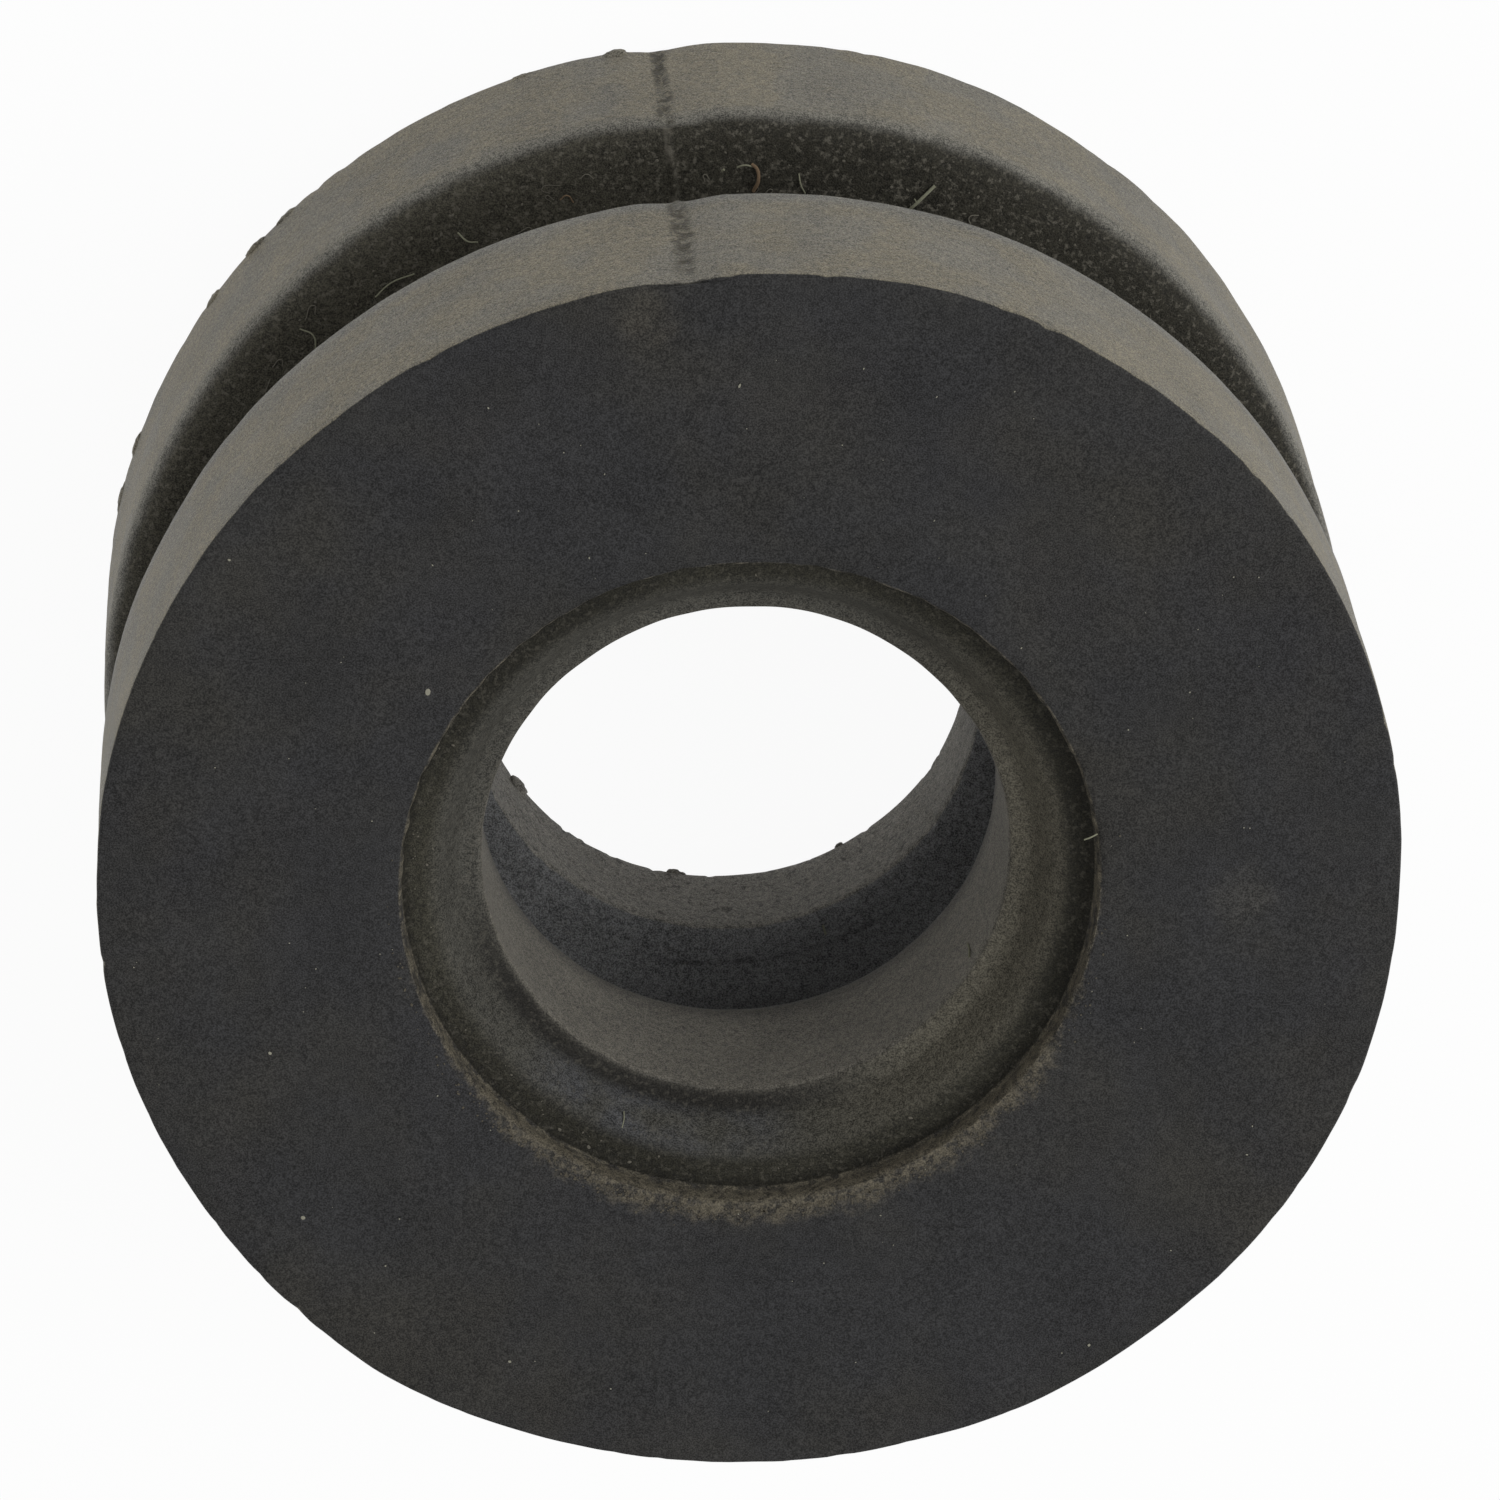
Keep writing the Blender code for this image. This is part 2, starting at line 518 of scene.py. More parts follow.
def mouth_shift(point, sizes):
    """Ragged edge of the front recess."""
    radius = math.hypot(point.x, point.y)
    down_wall = (sizes.height - point.z) / 2.0
    near = bell(max(abs(radius - mouth_edge(sizes)), down_wall), MOUTH_CHIP_BAND)
    ragged = sum(wave(point, size, seed=17.0) for size in MOUTH_CHIP_WAVES)
    return MOUTH_CHIP_DEPTH * near * (ragged - MOUTH_CHIP_BIAS)


def bore_shift(point, sizes, wear):
    """Pits in the rear lip of the bore."""
    radius = math.hypot(point.x, point.y)
    if radius > sizes.bore_radius + SMALL_ROUNDING or point.z > relief_bottom(sizes):
        return 0.0
    pit = max(0.0, wave(point, PIT_WAVE, seed=11.0) - PIT_THRESHOLD)
    return -wear.pit_depth * pit * PIT_STEEPNESS


def wear_shift(point, sizes, wear):
    """How far a point of the clean ring moves along its normal."""
    uneven = wave(point, BROAD_WAVE) + SHORT_WAVE_SHARE * wave(point, SHORT_WAVE, seed=5.0)
    shift = wear.unevenness * uneven
    if point.z > sizes.height - FACE_MARGIN:
        shift -= wear.face_sink
    shift += seam_shift(point, sizes, wear)
    shift += rim_shift(point, sizes)
    shift += mouth_shift(point, sizes)
    shift += bore_shift(point, sizes, wear)
    return shift


def bulge(point, sizes, wear):
    """How far a point moves outwards because the flanges aren't quite round."""
    angle = math.degrees(math.atan2(point.y, point.x)) % 360.0
    share = sum(height * bell(angle - middle, BULGE_WIDTH) for middle, height in BULGES)
    inner = sizes.bore_radius + sizes.relief_depth
    reach = (math.hypot(point.x, point.y) - inner) / (sizes.rim_radius - inner)
    return wear.out_of_round * min(share, 1.0) * max(reach, 0.0) ** 2


def worn_ring(sizes, wear):
    """The ring after wear, within the straight limits of the clean ring."""
    work = turned_ring(sizes)
    low = (-sizes.rim_radius, -sizes.rim_radius, 0.0)
    high = (sizes.rim_radius, sizes.rim_radius, sizes.height)
    moves = [vertex.normal * wear_shift(vertex.co, sizes, wear) for vertex in work.verts]
    for vertex, move in zip(work.verts, moves):
        outwards = Vector((vertex.co.x, vertex.co.y, 0.0)).normalized()
        place = vertex.co + move + outwards * bulge(vertex.co, sizes, wear)
        vertex.co = [min(max(place[axis], low[axis]), high[axis]) for axis in range(3)]
    return work


def add_piece(name, work, material, smooth=True):
    """Turn a bmesh into a piece of the object, riding on its body."""
    mesh = bpy.data.meshes.new(name)
    work.to_mesh(mesh)
    work.free()
    if smooth:
        mesh.shade_smooth()
        mesh.set_sharp_from_angle(angle=SHARP_ANGLE)
    mesh.materials.append(material)
    piece = bpy.data.objects.new(name, mesh)
    bpy.context.scene.collection.objects.link(piece)
    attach(piece, BODY)
    return piece


# Nubs of flash left by the mould


class Nub(NamedTuple):
    """A nub of flash: angle in degrees, place, and its three half sizes in millimetres."""

    angle: float
    radius: float
    height: float
    across: float
    along: float
    out: float


REAR_RIM_NUB_ANGLES = (342.0, 347.5, 325.7, 319.4, 315.2, 289.4, 280.6, 255.2, 248.7, 245.0, 230.4)
FRONT_RIM_NUB_ANGLES = (153.1, 148.8, 139.2, 123.5, 113.8)
REAR_EDGE_NUBS = (
    Nub(36.8, 7.74, 2.60, 0.36, 0.26, 0.15),
    Nub(34.8, 7.72, 2.75, 0.18, 0.26, 0.15),
    Nub(80.6, 7.78, 2.46, 0.24, 0.10, 0.13),
    Nub(82.4, 7.81, 2.45, 0.14, 0.08, 0.09),
    Nub(119.9, 7.80, 2.46, 0.16, 0.09, 0.11),
    Nub(98.0, 7.85, 2.48, 0.12, 0.08, 0.07),
    Nub(57.0, 7.84, 2.48, 0.20, 0.08, 0.07),
)

# Half sizes of the rims' nubs, from the smallest to the largest, in millimetres
REAR_NUB_ACROSS = (0.32, 0.55)
REAR_NUB_OUT = (0.09, 0.14)
REAR_NUB_ALONG = (0.16, 0.3)
FRONT_NUB_ACROSS = (0.20, 0.36)
FRONT_NUB_OUT = (0.09, 0.12)
FRONT_NUB_ALONG = 0.16

# How far the nubs' middles lie inside the rim and from the end face, in millimetres
REAR_NUB_SUNK = 0.05
FRONT_NUB_SUNK = 0.06
NUB_FROM_END = 0.24
NUB_ROUGHNESS = 0.30
NUB_WAVE = 0.00012


def rim_nubs(sizes, rng):
    """Nubs on the rims, each a little different."""
    rim = sizes.rim_radius / MILLIMETRE
    top = sizes.height / MILLIMETRE
    nubs = []
    for angle in REAR_RIM_NUB_ANGLES:
        across = rng.uniform(*REAR_NUB_ACROSS)
        out = rng.uniform(*REAR_NUB_OUT)
        along = rng.uniform(*REAR_NUB_ALONG)
        nubs.append(Nub(angle, rim - REAR_NUB_SUNK, NUB_FROM_END, across, along, out))
    for angle in FRONT_RIM_NUB_ANGLES:
        across = rng.uniform(*FRONT_NUB_ACROSS)
        out = rng.uniform(*FRONT_NUB_OUT)
        height = top - NUB_FROM_END
        nubs.append(Nub(angle, rim - FRONT_NUB_SUNK, height, across, FRONT_NUB_ALONG, out))
    return nubs


def add_nub(work, nub):
    """One small torn lump, half sunk in the rubber and never below the floor."""
    stretch = Matrix.Diagonal((nub.out, nub.across, nub.along, 1.0))
    place = Matrix.Translation((nub.radius * MILLIMETRE, 0.0, nub.height * MILLIMETRE))
    turn = Matrix.Rotation(math.radians(nub.angle), 4, "Z")
    result = bmesh.ops.create_icosphere(
        work, subdivisions=3, radius=MILLIMETRE, matrix=turn @ place @ stretch
    )
    centre = turn @ place @ Vector((0.0, 0.0, 0.0))
    for vertex in result["verts"]:
        ripple = 1.0 + NUB_ROUGHNESS * wave(vertex.co, NUB_WAVE, seed=2.0)
        vertex.co = centre + (vertex.co - centre) * ripple
        vertex.co.z = max(vertex.co.z, 0.0)


# Dust grains and fibres

# Larger specks on the front end face: angle in degrees, radius and size in millimetres
FACE_SPECKS = (
    (272.5, 15.68, 0.06),
    (326.6, 11.30, 0.08),
    (325.7, 18.30, 0.06),
    (39.4, 16.80, 0.08),
    (20.7, 14.92, 0.05),
    (124.9, 18.30, 0.07),
    (66.2, 16.92, 0.06),
)

# The same for the recess's ledge
LEDGE_SPECKS = (
    (122.0, 9.40, 0.06),
    (57.0, 9.93, 0.05),
    (63.0, 10.02, 0.08),
    (70.5, 9.98, 0.07),
    (327.2, 10.05, 0.05),
    (334.8, 9.58, 0.05),
    (358.3, 9.40, 0.05),
    (10.1, 10.05, 0.06),
)

# Grain sizes from the smallest to the largest, in millimetres
GROOVE_GRAIN_SIZE = (0.02, 0.055)
MOUTH_GRAIN_SIZE = (0.018, 0.045)
LEDGE_GRAIN_SIZE = (0.014, 0.034)
FACE_GRAIN_SIZE = (0.012, 0.03)

# How a grain is stretched along its own axes, as shares of its size
GRAIN_LENGTH = (0.7, 1.6)
GRAIN_WIDTH = (0.6, 1.1)
GRAIN_THICKNESS = (0.35, 0.6)

# Where the grains gather round the recess: middle and spread of their angle in degrees
MOUTH_GRAIN_ANGLE = (92.0, 34.0)
LEDGE_GRAIN_ANGLE = (40.0, 60.0)

# How far the grains spread from the recess's wall, and stay off the face's edges, in millimetres
MOUTH_GRAIN_SPREAD = 0.20
LEDGE_GRAIN_SPREAD = 0.30
FACE_GRAIN_FROM_MOUTH = 0.4
FACE_GRAIN_FROM_RIM = 0.6

# Lint: how its middle and its end lie from its start, in degrees and millimetres
LINT_THICKNESS = (0.022, 0.042)
LINT_BEND_TURN = 0.7
LINT_BEND_OUT = 0.25
LINT_BEND_RISE = 0.04
LINT_END_TURN = 1.3
LINT_END_OUT = (-0.2, 0.4)
LINT_FROM_LIP = 0.3

FIBRE_STEPS = 6
FIBRE_ROUNDNESS = 2


def polar_point(angle, radius, height):
    """Point at an angle in degrees and a radius and height in metres."""
    turn = math.radians(angle)
    return Vector((radius * math.cos(turn), radius * math.sin(turn), height))


def add_grain(work, place, size, rng):
    """One flat dust grain of a few faces, pressed down where it would pass the front end."""
    shares = [rng.uniform(*share) for share in (GRAIN_LENGTH, GRAIN_WIDTH, GRAIN_THICKNESS)]
    stretch = Matrix.Diagonal((*shares, 1.0))
    turn = Matrix.Rotation(rng.uniform(0.0, math.tau), 4, "Z")
    result = bmesh.ops.create_icosphere(
        work,
        subdivisions=1,
        radius=size,
        matrix=Matrix.Translation(place) @ turn @ stretch,
    )
    for vertex in result["verts"]:
        vertex.co.z = min(vertex.co.z, HEIGHT)


def add_specks(work, specks, height, rng):
    """The larger grains that have places of their own."""
    for angle, radius, size in specks:
        place = polar_point(angle, radius * MILLIMETRE, height)
        add_grain(work, place, size * MILLIMETRE, rng)


def groove_dust(sizes, wear):
    """Grains lying on the groove's lower wall."""
    rng = random.Random(11)
    work = bmesh.new()
    inner = groove_floor(sizes) + GROOVE_ROOT_ROUNDING
    outer = sizes.rim_radius - sizes.groove_lip
    for _ in range(wear.groove_grains):
        radius = rng.uniform(inner, outer)
        place = polar_point(rng.uniform(0.0, 360.0), radius, sizes.groove_bottom)
        add_grain(work, place, rng.uniform(*GROOVE_GRAIN_SIZE) * MILLIMETRE, rng)
    return work


def mouth_dust(sizes, wear):
    """Brown grains along the recess's edge, thickest on the +Y side."""
    rng = random.Random(12)
    work = bmesh.new()
    inner = mouth_edge(sizes) + MOUTH_ROUNDING
    for _ in range(wear.mouth_grains):
        radius = inner + abs(rng.gauss(0.0, MOUTH_GRAIN_SPREAD)) * MILLIMETRE
        place = polar_point(rng.gauss(*MOUTH_GRAIN_ANGLE), radius, sizes.height)
        add_grain(work, place, rng.uniform(*MOUTH_GRAIN_SIZE) * MILLIMETRE, rng)
    return work


def ledge_dust(sizes, wear):
    """Pale grains on the recess's ledge, most of them near its wall."""
    rng = random.Random(14)
    work = bmesh.new()
    outer = mouth_edge(sizes) - SMALL_ROUNDING
    for _ in range(wear.ledge_grains):
        radius = outer - abs(rng.gauss(0.0, LEDGE_GRAIN_SPREAD)) * MILLIMETRE
        place = polar_point(rng.gauss(*LEDGE_GRAIN_ANGLE), radius, ledge_level(sizes))
        add_grain(work, place, rng.uniform(*LEDGE_GRAIN_SIZE) * MILLIMETRE, rng)
    add_specks(work, LEDGE_SPECKS, ledge_level(sizes), rng)
    return work


def face_dust(sizes, wear):
    """Pale grains scattered on the front end face."""
    rng = random.Random(13)
    work = bmesh.new()
    inner = mouth_edge(sizes) + FACE_GRAIN_FROM_MOUTH * MILLIMETRE
    outer = sizes.rim_radius - FACE_GRAIN_FROM_RIM * MILLIMETRE
    for _ in range(wear.face_grains):
        radius = rng.uniform(inner, outer)
        place = polar_point(rng.uniform(0.0, 360.0), radius, sizes.height)
        add_grain(work, place, rng.uniform(*FACE_GRAIN_SIZE) * MILLIMETRE, rng)
    add_specks(work, FACE_SPECKS, sizes.height, rng)
    return work


class Fibre(NamedTuple):
    """A fibre through named points, each an angle in degrees, and millimetres."""

    points: tuple
    thickness: float


def pale_fibres(sizes):
    """Pale fibres in the groove, at the mouth and in the bore."""
    wall = sizes.groove_bottom / MILLIMETRE
    top = sizes.height / MILLIMETRE
    lip = relief_bottom(sizes) / MILLIMETRE
    return (
        Fibre(((252.6, 16.8, wall), (252.1, 17.2, wall + 0.2), (251.0, 17.85, wall + 0.1)), 0.10),
        Fibre(((252.1, 17.2, wall + 0.2), (252.5, 17.3, wall + 0.2)), 0.04),
        Fibre(((264.2, 17.3, wall), (263.9, 17.0, wall + 0.1), (263.3, 16.7, wall)), 0.045),
        Fibre(((270.3, 17.4, wall), (269.6, 17.5, wall + 0.1), (268.8, 17.42, wall)), 0.06),
        Fibre(((271.8, 17.3, wall), (271.6, 17.35, wall + 0.05)), 0.08),
        Fibre(((298.7, 17.45, wall), (298.2, 17.1, wall + 0.12), (297.4, 16.9, wall)), 0.055),
        Fibre(((309.2, 17.1, wall), (307.0, 17.2, wall + 0.1), (304.6, 17.0, wall)), 0.05),
        Fibre(((189.6, 10.2, top - 0.1), (189.3, 10.0, top - 0.05), (188.9, 9.8, top - 0.1)), 0.05),
        Fibre(((316.9, 17.9, wall), (316.4, 17.5, wall + 0.1), (317.4, 17.1, wall)), 0.05),
        Fibre(((112.3, 8.55, lip), (112.6, 8.2, lip + 0.05)), 0.07),
        Fibre(((151.0, 7.72, top - 3.3), (151.6, 7.7, top - 3.7), (151.2, 7.72, top - 4.2)), 0.06),
        Fibre(((66.5, 8.75, top - 1.7), (66.9, 8.9, top - 1.5), (67.0, 9.1, top - 1.3)), 0.035),
    )


def groove_lint(sizes, wear):
    """Short dull fibres lying about on the groove's lower wall."""
    rng = random.Random(21)
    wall = sizes.groove_bottom / MILLIMETRE
    inner = (groove_floor(sizes) + GROOVE_ROOT_ROUNDING) / MILLIMETRE
    outer = (sizes.rim_radius - sizes.groove_lip) / MILLIMETRE
    fibres = []
    for _ in range(wear.groove_lint):
        angle = rng.uniform(0.0, 360.0)
        radius = rng.uniform(inner, outer - LINT_FROM_LIP)
        bend_angle = angle + rng.uniform(-LINT_BEND_TURN, LINT_BEND_TURN)
        bend_radius = radius + rng.uniform(0.0, LINT_BEND_OUT)
        end_angle = angle + rng.uniform(-LINT_END_TURN, LINT_END_TURN)
        end_radius = radius + rng.uniform(*LINT_END_OUT)
        start = (angle, radius, wall)
        bend = (bend_angle, bend_radius, wall + LINT_BEND_RISE)
        end = (end_angle, end_radius, wall)
        fibres.append(Fibre((start, bend, end), rng.uniform(*LINT_THICKNESS)))
    return fibres


def brown_fibres(sizes):
    """The orange-brown hooked fibre in the groove and a few short ones."""
    wall = sizes.groove_bottom / MILLIMETRE
    hook = ((268.9, 17.50, wall), (268.4, 17.40, wall + 0.1), (268.2, 17.10, wall + 0.2))
    return (
        Fibre(hook + ((268.6, 16.65, wall),), 0.11),
        Fibre(((237.9, 16.0, wall), (237.2, 16.4, wall + 0.1), (237.6, 16.8, wall)), 0.04),
        Fibre(((288.1, 17.2, wall), (287.3, 17.3, wall + 0.08), (286.9, 17.0, wall)), 0.04),
    )


def fibre_tubes(name, fibres):
    """Bmesh of thin closed tubes along the fibres."""
    curve = bpy.data.curves.new(name, "CURVE")
    curve.dimensions = "3D"
    curve.resolution_u = FIBRE_STEPS
    curve.bevel_depth = 0.5  # a knot's radius is then the tube's full thickness
    curve.bevel_resolution = FIBRE_ROUNDNESS
    curve.use_fill_caps = True
    for fibre in fibres:
        spline = curve.splines.new("BEZIER")
        spline.bezier_points.add(len(fibre.points) - 1)
        for knot, (angle, radius, height) in zip(spline.bezier_points, fibre.points):
            knot.co = polar_point(angle, radius * MILLIMETRE, height * MILLIMETRE)
            knot.radius = fibre.thickness * MILLIMETRE
            knot.handle_left_type = "AUTO"
            knot.handle_right_type = "AUTO"
    guide = bpy.data.objects.new(name, curve)
    mesh = bpy.data.meshes.new_from_object(guide)
    work = bmesh.new()
    work.from_mesh(mesh)
    bpy.data.objects.remove(guide)
    bpy.data.curves.remove(curve)
    bpy.data.meshes.remove(mesh)
    return work


# Shader maths


class Pattern(NamedTuple):
    """Patches of noise: size, detail and roughness, and the levels where they rise."""

    size: float
    detail: float
    roughness: float
    low: float
    high: float


class Stray(NamedTuple):
    """A random shift: size, detail and roughness of its waves, and its reach in metres."""

    size: float
    detail: float
    roughness: float
    reach: float


class Signal:
    """A number that changes over the surface. Arithmetic on it adds Math nodes."""

    def __init__(self, shading, socket):
        self.shading = shading
        self.socket = socket

    def __add__(self, other):
        return self.shading.math("ADD", self, other)

    def __sub__(self, other):
        return self.shading.math("SUBTRACT", self, other)

    def __rsub__(self, other):
        return self.shading.math("SUBTRACT", other, self)

    def __mul__(self, other):
        return self.shading.math("MULTIPLY", self, other)

    def __truediv__(self, other):
        return self.shading.math("DIVIDE", self, other)

    __radd__ = __add__
    __rmul__ = __mul__


class Shading:
    """Adds the nodes of one material or of the world."""

    def __init__(self, tree):
        self.tree = tree
        tree.nodes.clear()
        self.place = None

    def node(self, kind, settings=None, sockets=None):
        """Add a node: its settings first, then values or links for its sockets."""
        node = self.tree.nodes.new(kind)
        for key, value in (settings or {}).items():
            setattr(node, key, value)
        for key, value in (sockets or {}).items():
            if isinstance(value, Signal):
                value = value.socket
            if isinstance(value, bpy.types.NodeSocket):
                self.tree.links.new(value, node.inputs[key])
            else:
                node.inputs[key].default_value = value
        return node

    def math(self, operation, *values):
        """A Math node on numbers and signals."""
        node = self.node("ShaderNodeMath", {"operation": operation}, dict(enumerate(values)))
        return Signal(self, node.outputs[0])

    def object_axes(self):
        """The three object coordinates; they also become the patterns' place."""
        self.place = self.node("ShaderNodeTexCoord").outputs["Object"]
        axes = self.node("ShaderNodeSeparateXYZ", sockets={"Vector": self.place})
        return [Signal(self, socket) for socket in axes.outputs]

    def noise(self, size, detail=2.0, roughness=0.5):
        """Noise from 0 to 1, in blotches of about the given size."""
        sockets = {
            "Vector": self.place,
            "Scale": 1.0 / size,
            "Detail": detail,
            "Roughness": roughness,
        }
        return Signal(self, self.node("ShaderNodeTexNoise", sockets=sockets).outputs[0])

    def rise(self, value, low, high):
        """0 below low, 1 above high and smooth between them."""
        sockets = {"Value": value, "From Min": low, "From Max": high}
        node = self.node("ShaderNodeMapRange", {"interpolation_type": "SMOOTHSTEP"}, sockets)
        return Signal(self, node.outputs[0])

    def past(self, value, level, fade):
        """0 to 1 as the value passes a level; both ends of the fade are told from the level."""
        start, end = fade
        return self.rise(value, level + start, level + end)

    def patches(self, pattern):
        """1 in a pattern's patches and 0 between them."""
        value = self.noise(pattern.size, pattern.detail, pattern.roughness)
        return self.rise(value, pattern.low, pattern.high)

    def lifted(self, value, least):
        """A value from 0 to 1, lifted to start at the least."""
        return value * (1.0 - least) + least

    def stray(self, stray):
        """A shift that wanders to both sides of zero."""
        value = self.noise(stray.size, stray.detail, stray.roughness)
        return (value - 0.5) * stray.reach

    def band(self, value, low, high, soft):
        """1 between low and high, with soft edges."""
        return self.rise(value, low - soft, low + soft) * self.rise(
            value, high + soft, high - soft
        )

    def mix(self, factor, first, second):
        """Colour that goes from the first to the second as the factor goes to 1."""
        sockets = {0: factor, 6: colour_value(first), 7: colour_value(second)}
        return self.node("ShaderNodeMix", {"data_type": "RGBA"}, sockets).outputs[2]

    def scaled(self, colour, factor):
        """Colour times a number."""
        sockets = {0: colour, "Scale": factor}
        return self.node("ShaderNodeVectorMath", {"operation": "SCALE"}, sockets).outputs[0]


def colour_value(colour):
    """A plain colour as four numbers; a socket stays as it is."""
    if isinstance(colour, bpy.types.NodeSocket):
        return colour
    return (*colour[:3], 1.0)


def new_shading(name):
    """A new material and the helper that builds it."""
    material = bpy.data.materials.new(name)
    material.use_nodes = True
    return material, Shading(material.node_tree)


def finish_surface(shade, sockets, height):
    """Join a rough, dull surface with a bumped normal to the output."""
    bump = shade.node("ShaderNodeBump", sockets={"Height": height, "Distance": 1.0})
    sockets["Normal"] = bump.outputs[0]
    surface = shade.node("ShaderNodeBsdfPrincipled", sockets=sockets)
    shade.node("ShaderNodeOutputMaterial", sockets={"Surface": surface.outputs[0]})


# The rubber

RUBBER_SPECULAR = 0.14
EDGE_SOFTNESS = 0.00005
ZONE_SOFTNESS = 0.00012
LIP_EDGE = 0.0002
BORE_TOP_MARGIN = 0.0001

# Where the sides of the flanges end: shares of the groove lip that take the groove's
# colour and the bare face's, and the margins at the two end faces
GROOVE_COLOUR_SHARE = 0.4
BARE_LIP_SHARE = 0.8
SIDE_START = 0.0001
SIDE_END = 0.0002
SIDE_SOFTNESS = 0.0001
GROOVE_SOFTNESS = ZONE_SOFTNESS * 1.5

# How much of the zones' stray the rim and the top edge take, and the shade under the lip
RIM_STRAY_SHARE = 0.4
TOP_STRAY_SHARE = 0.15
UNDER_LIP_STRAY_SHARE = 2.0

# Patterns of noise over the rubber
FINE_GRAIN = Pattern(0.000048, 1.0, 0.6, 0.34, 0.66)
COARSE_GRAIN = Pattern(0.00022, 2.0, 0.6, 0.34, 0.66)
FACE_FILM = Pattern(0.006, 3.0, 0.6, 0.35, 0.75)
WALL_DUST = Pattern(0.00045, 2.0, 0.75, 0.36, 0.62)
COOL_BLOOM = Pattern(0.0022, 1.0, 0.5, 0.42, 0.64)
SLOPE_HIGHLIGHT_PATCHES = Pattern(0.0020, 1.0, 0.5, 0.25, 0.5)
LINT = Pattern(0.00018, 2.0, 0.7, 0.52, 0.70)
LIP_PITS = Pattern(0.00024, 1.0, 0.5, 0.60, 0.70)
CREASE_BREAKS = Pattern(0.0012, 1.0, 0.5, 0.35, 0.6)
DIRT_PATCHES = Pattern(0.00022, 2.0, 0.7, 0.36, 0.60)
SEAM_PITS = Pattern(0.00042, 2.0, 0.65, 0.38, 0.56)
RIDGE_BREAKS = Pattern(0.0006, 1.0, 0.5, 0.32, 0.52)
BLOTCH_SIZE = 0.0028

# How the edges of zones, lines and spots stray
CORNER_STRAY = Stray(0.0008, 1.0, 0.5, 0.0003)
ZONE_STRAY = Stray(0.0007, 2.0, 0.5, 0.00025)
RELIEF_STRAY = Stray(0.0006, 1.0, 0.5, 0.00025)
SEAM_STRAY = Stray(0.0010, 2.0, 0.5, 0.00035)
RIDGE_STRAY = Stray(0.0008, 2.0, 0.5, 0.0003)
DIRT_STRAY = Stray(0.0008, 3.0, 0.65, 0.0016)
CREASE_STRAY = Stray(0.003, 2.0, 0.5, 0.0005)
SPOT_STRAY = Stray(0.0007, 1.0, 0.5, 0.0012)

# Where a zone's edge begins and ends, from the edge's own radius or height
RECESS_EDGE_FADE = (ZONE_SOFTNESS, EDGE_SOFTNESS)
SEAT_LEVEL_FADE = (-ZONE_SOFTNESS, -EDGE_SOFTNESS)
WALL_FOOT_FADE = (0.0002, 0.0001)
SLOPE_FADE = (0.0004, -0.0003)
SEAT_FADE = (0.0003, -0.0001)
CORNER_FADE = (-0.00035, -0.00005)
RIM_FADE = (-0.00016, -0.00006)
BORE_FADE = (0.0004, 0.0002)
LIP_END_FADE = (-EDGE_SOFTNESS, EDGE_SOFTNESS)
REAR_SEAT_FADE = (-ZONE_SOFTNESS, 0.0)
RELIEF_END_FADE = (0.0002, -0.0002)
UNDER_LIP_FADE = (0.0020, 0.0002)
RELIEF_START_FADE = (-0.0005, 0.0)
SEAM_FRONT_FADE = (-0.0002, 0.0)
SEAM_END_FADE = (-0.0018, -0.0003)
TOP_FADE = (0.00011, 0.00016)

# Strengths of the zones' films and spots, of painted light and shade, and how far the cool bloom
# reaches
CORNER_SHADE_STRENGTH = 0.8
WALL_DUST_LEAST = 0.15
COOL_STRENGTH = 0.6
COOL_MARGIN = 0.0008
COOL_SOFTNESS = 0.0004
STAIN_STRENGTH = 0.20
SMUDGE_STRENGTH = 0.10
UNDER_LIP_SHADE = 0.65
LIP_PAINTED_LIGHT = 0.28
RELIEF_SHADE = 0.22
GROOVE_DUST_GLOW = 0.9

# Brightness of the rubber: a base, and what each grain adds
BASE_BRIGHTNESS = 0.13
FINE_BRIGHTNESS = 0.94
COARSE_BRIGHTNESS = 0.40
BLOTCH_BRIGHTNESS = 0.40

# The same for the dirt in the torn seam and round the recess
SEAM_BASE_BRIGHTNESS = 0.5
DIRT_BASE_BRIGHTNESS = 0.45
DIRT_FINE_BRIGHTNESS = 0.75
DIRT_COARSE_BRIGHTNESS = 0.35

# How dark the pits and the painted crease shade are, and how much lint lies in each zone
PIT_DARKNESS = 0.62
CREASE_SHADE_STRENGTH = 0.7
HOLLOW_DARKNESS = 0.78
GROOVE_LINT = 0.60
LEDGE_LINT = 0.25
BORE_LINT = 0.12

# Heights of the grain, for the bump
FINE_RELIEF = 0.000010
COARSE_RELIEF = 0.000018

# Roughness of the rubber, what the coarse grain adds and what the bloom takes off
RUBBER_ROUGHNESS = 0.62
COARSE_ROUGHNESS = 0.12
BLOOM_SMOOTHNESS = 0.16

# The seam's dark line: half width on the rear flange and what the front one adds, the
# fade as shares of that, the least strength, and what the end and the front flange lose
SEAM_LINE_WIDTH = 0.00023
SEAM_LINE_EXTRA = 0.00007
SEAM_LINE_FADE = (1.45, 0.45)
SEAM_LEAST = 0.22
SEAM_END_LOSS = 0.8
FRONT_SEAM_LOSS = 0.10

# The seam's pale ridge in the groove
RIDGE_FADE = (0.00020, 0.00004)
RIDGE_STRENGTH = 0.85

# Packed dirt round the recess: how far it reaches over the face
DIRT_REACH = 0.00066
DIRT_LEAST_REACH = 0.00008
DIRT_RING_FADE = (1.3, 0.2)
DIRT_LEAST = 0.25
DIRT_DOWN_WALL = 0.8
DIRT_FULL_DEPTH = 0.0004

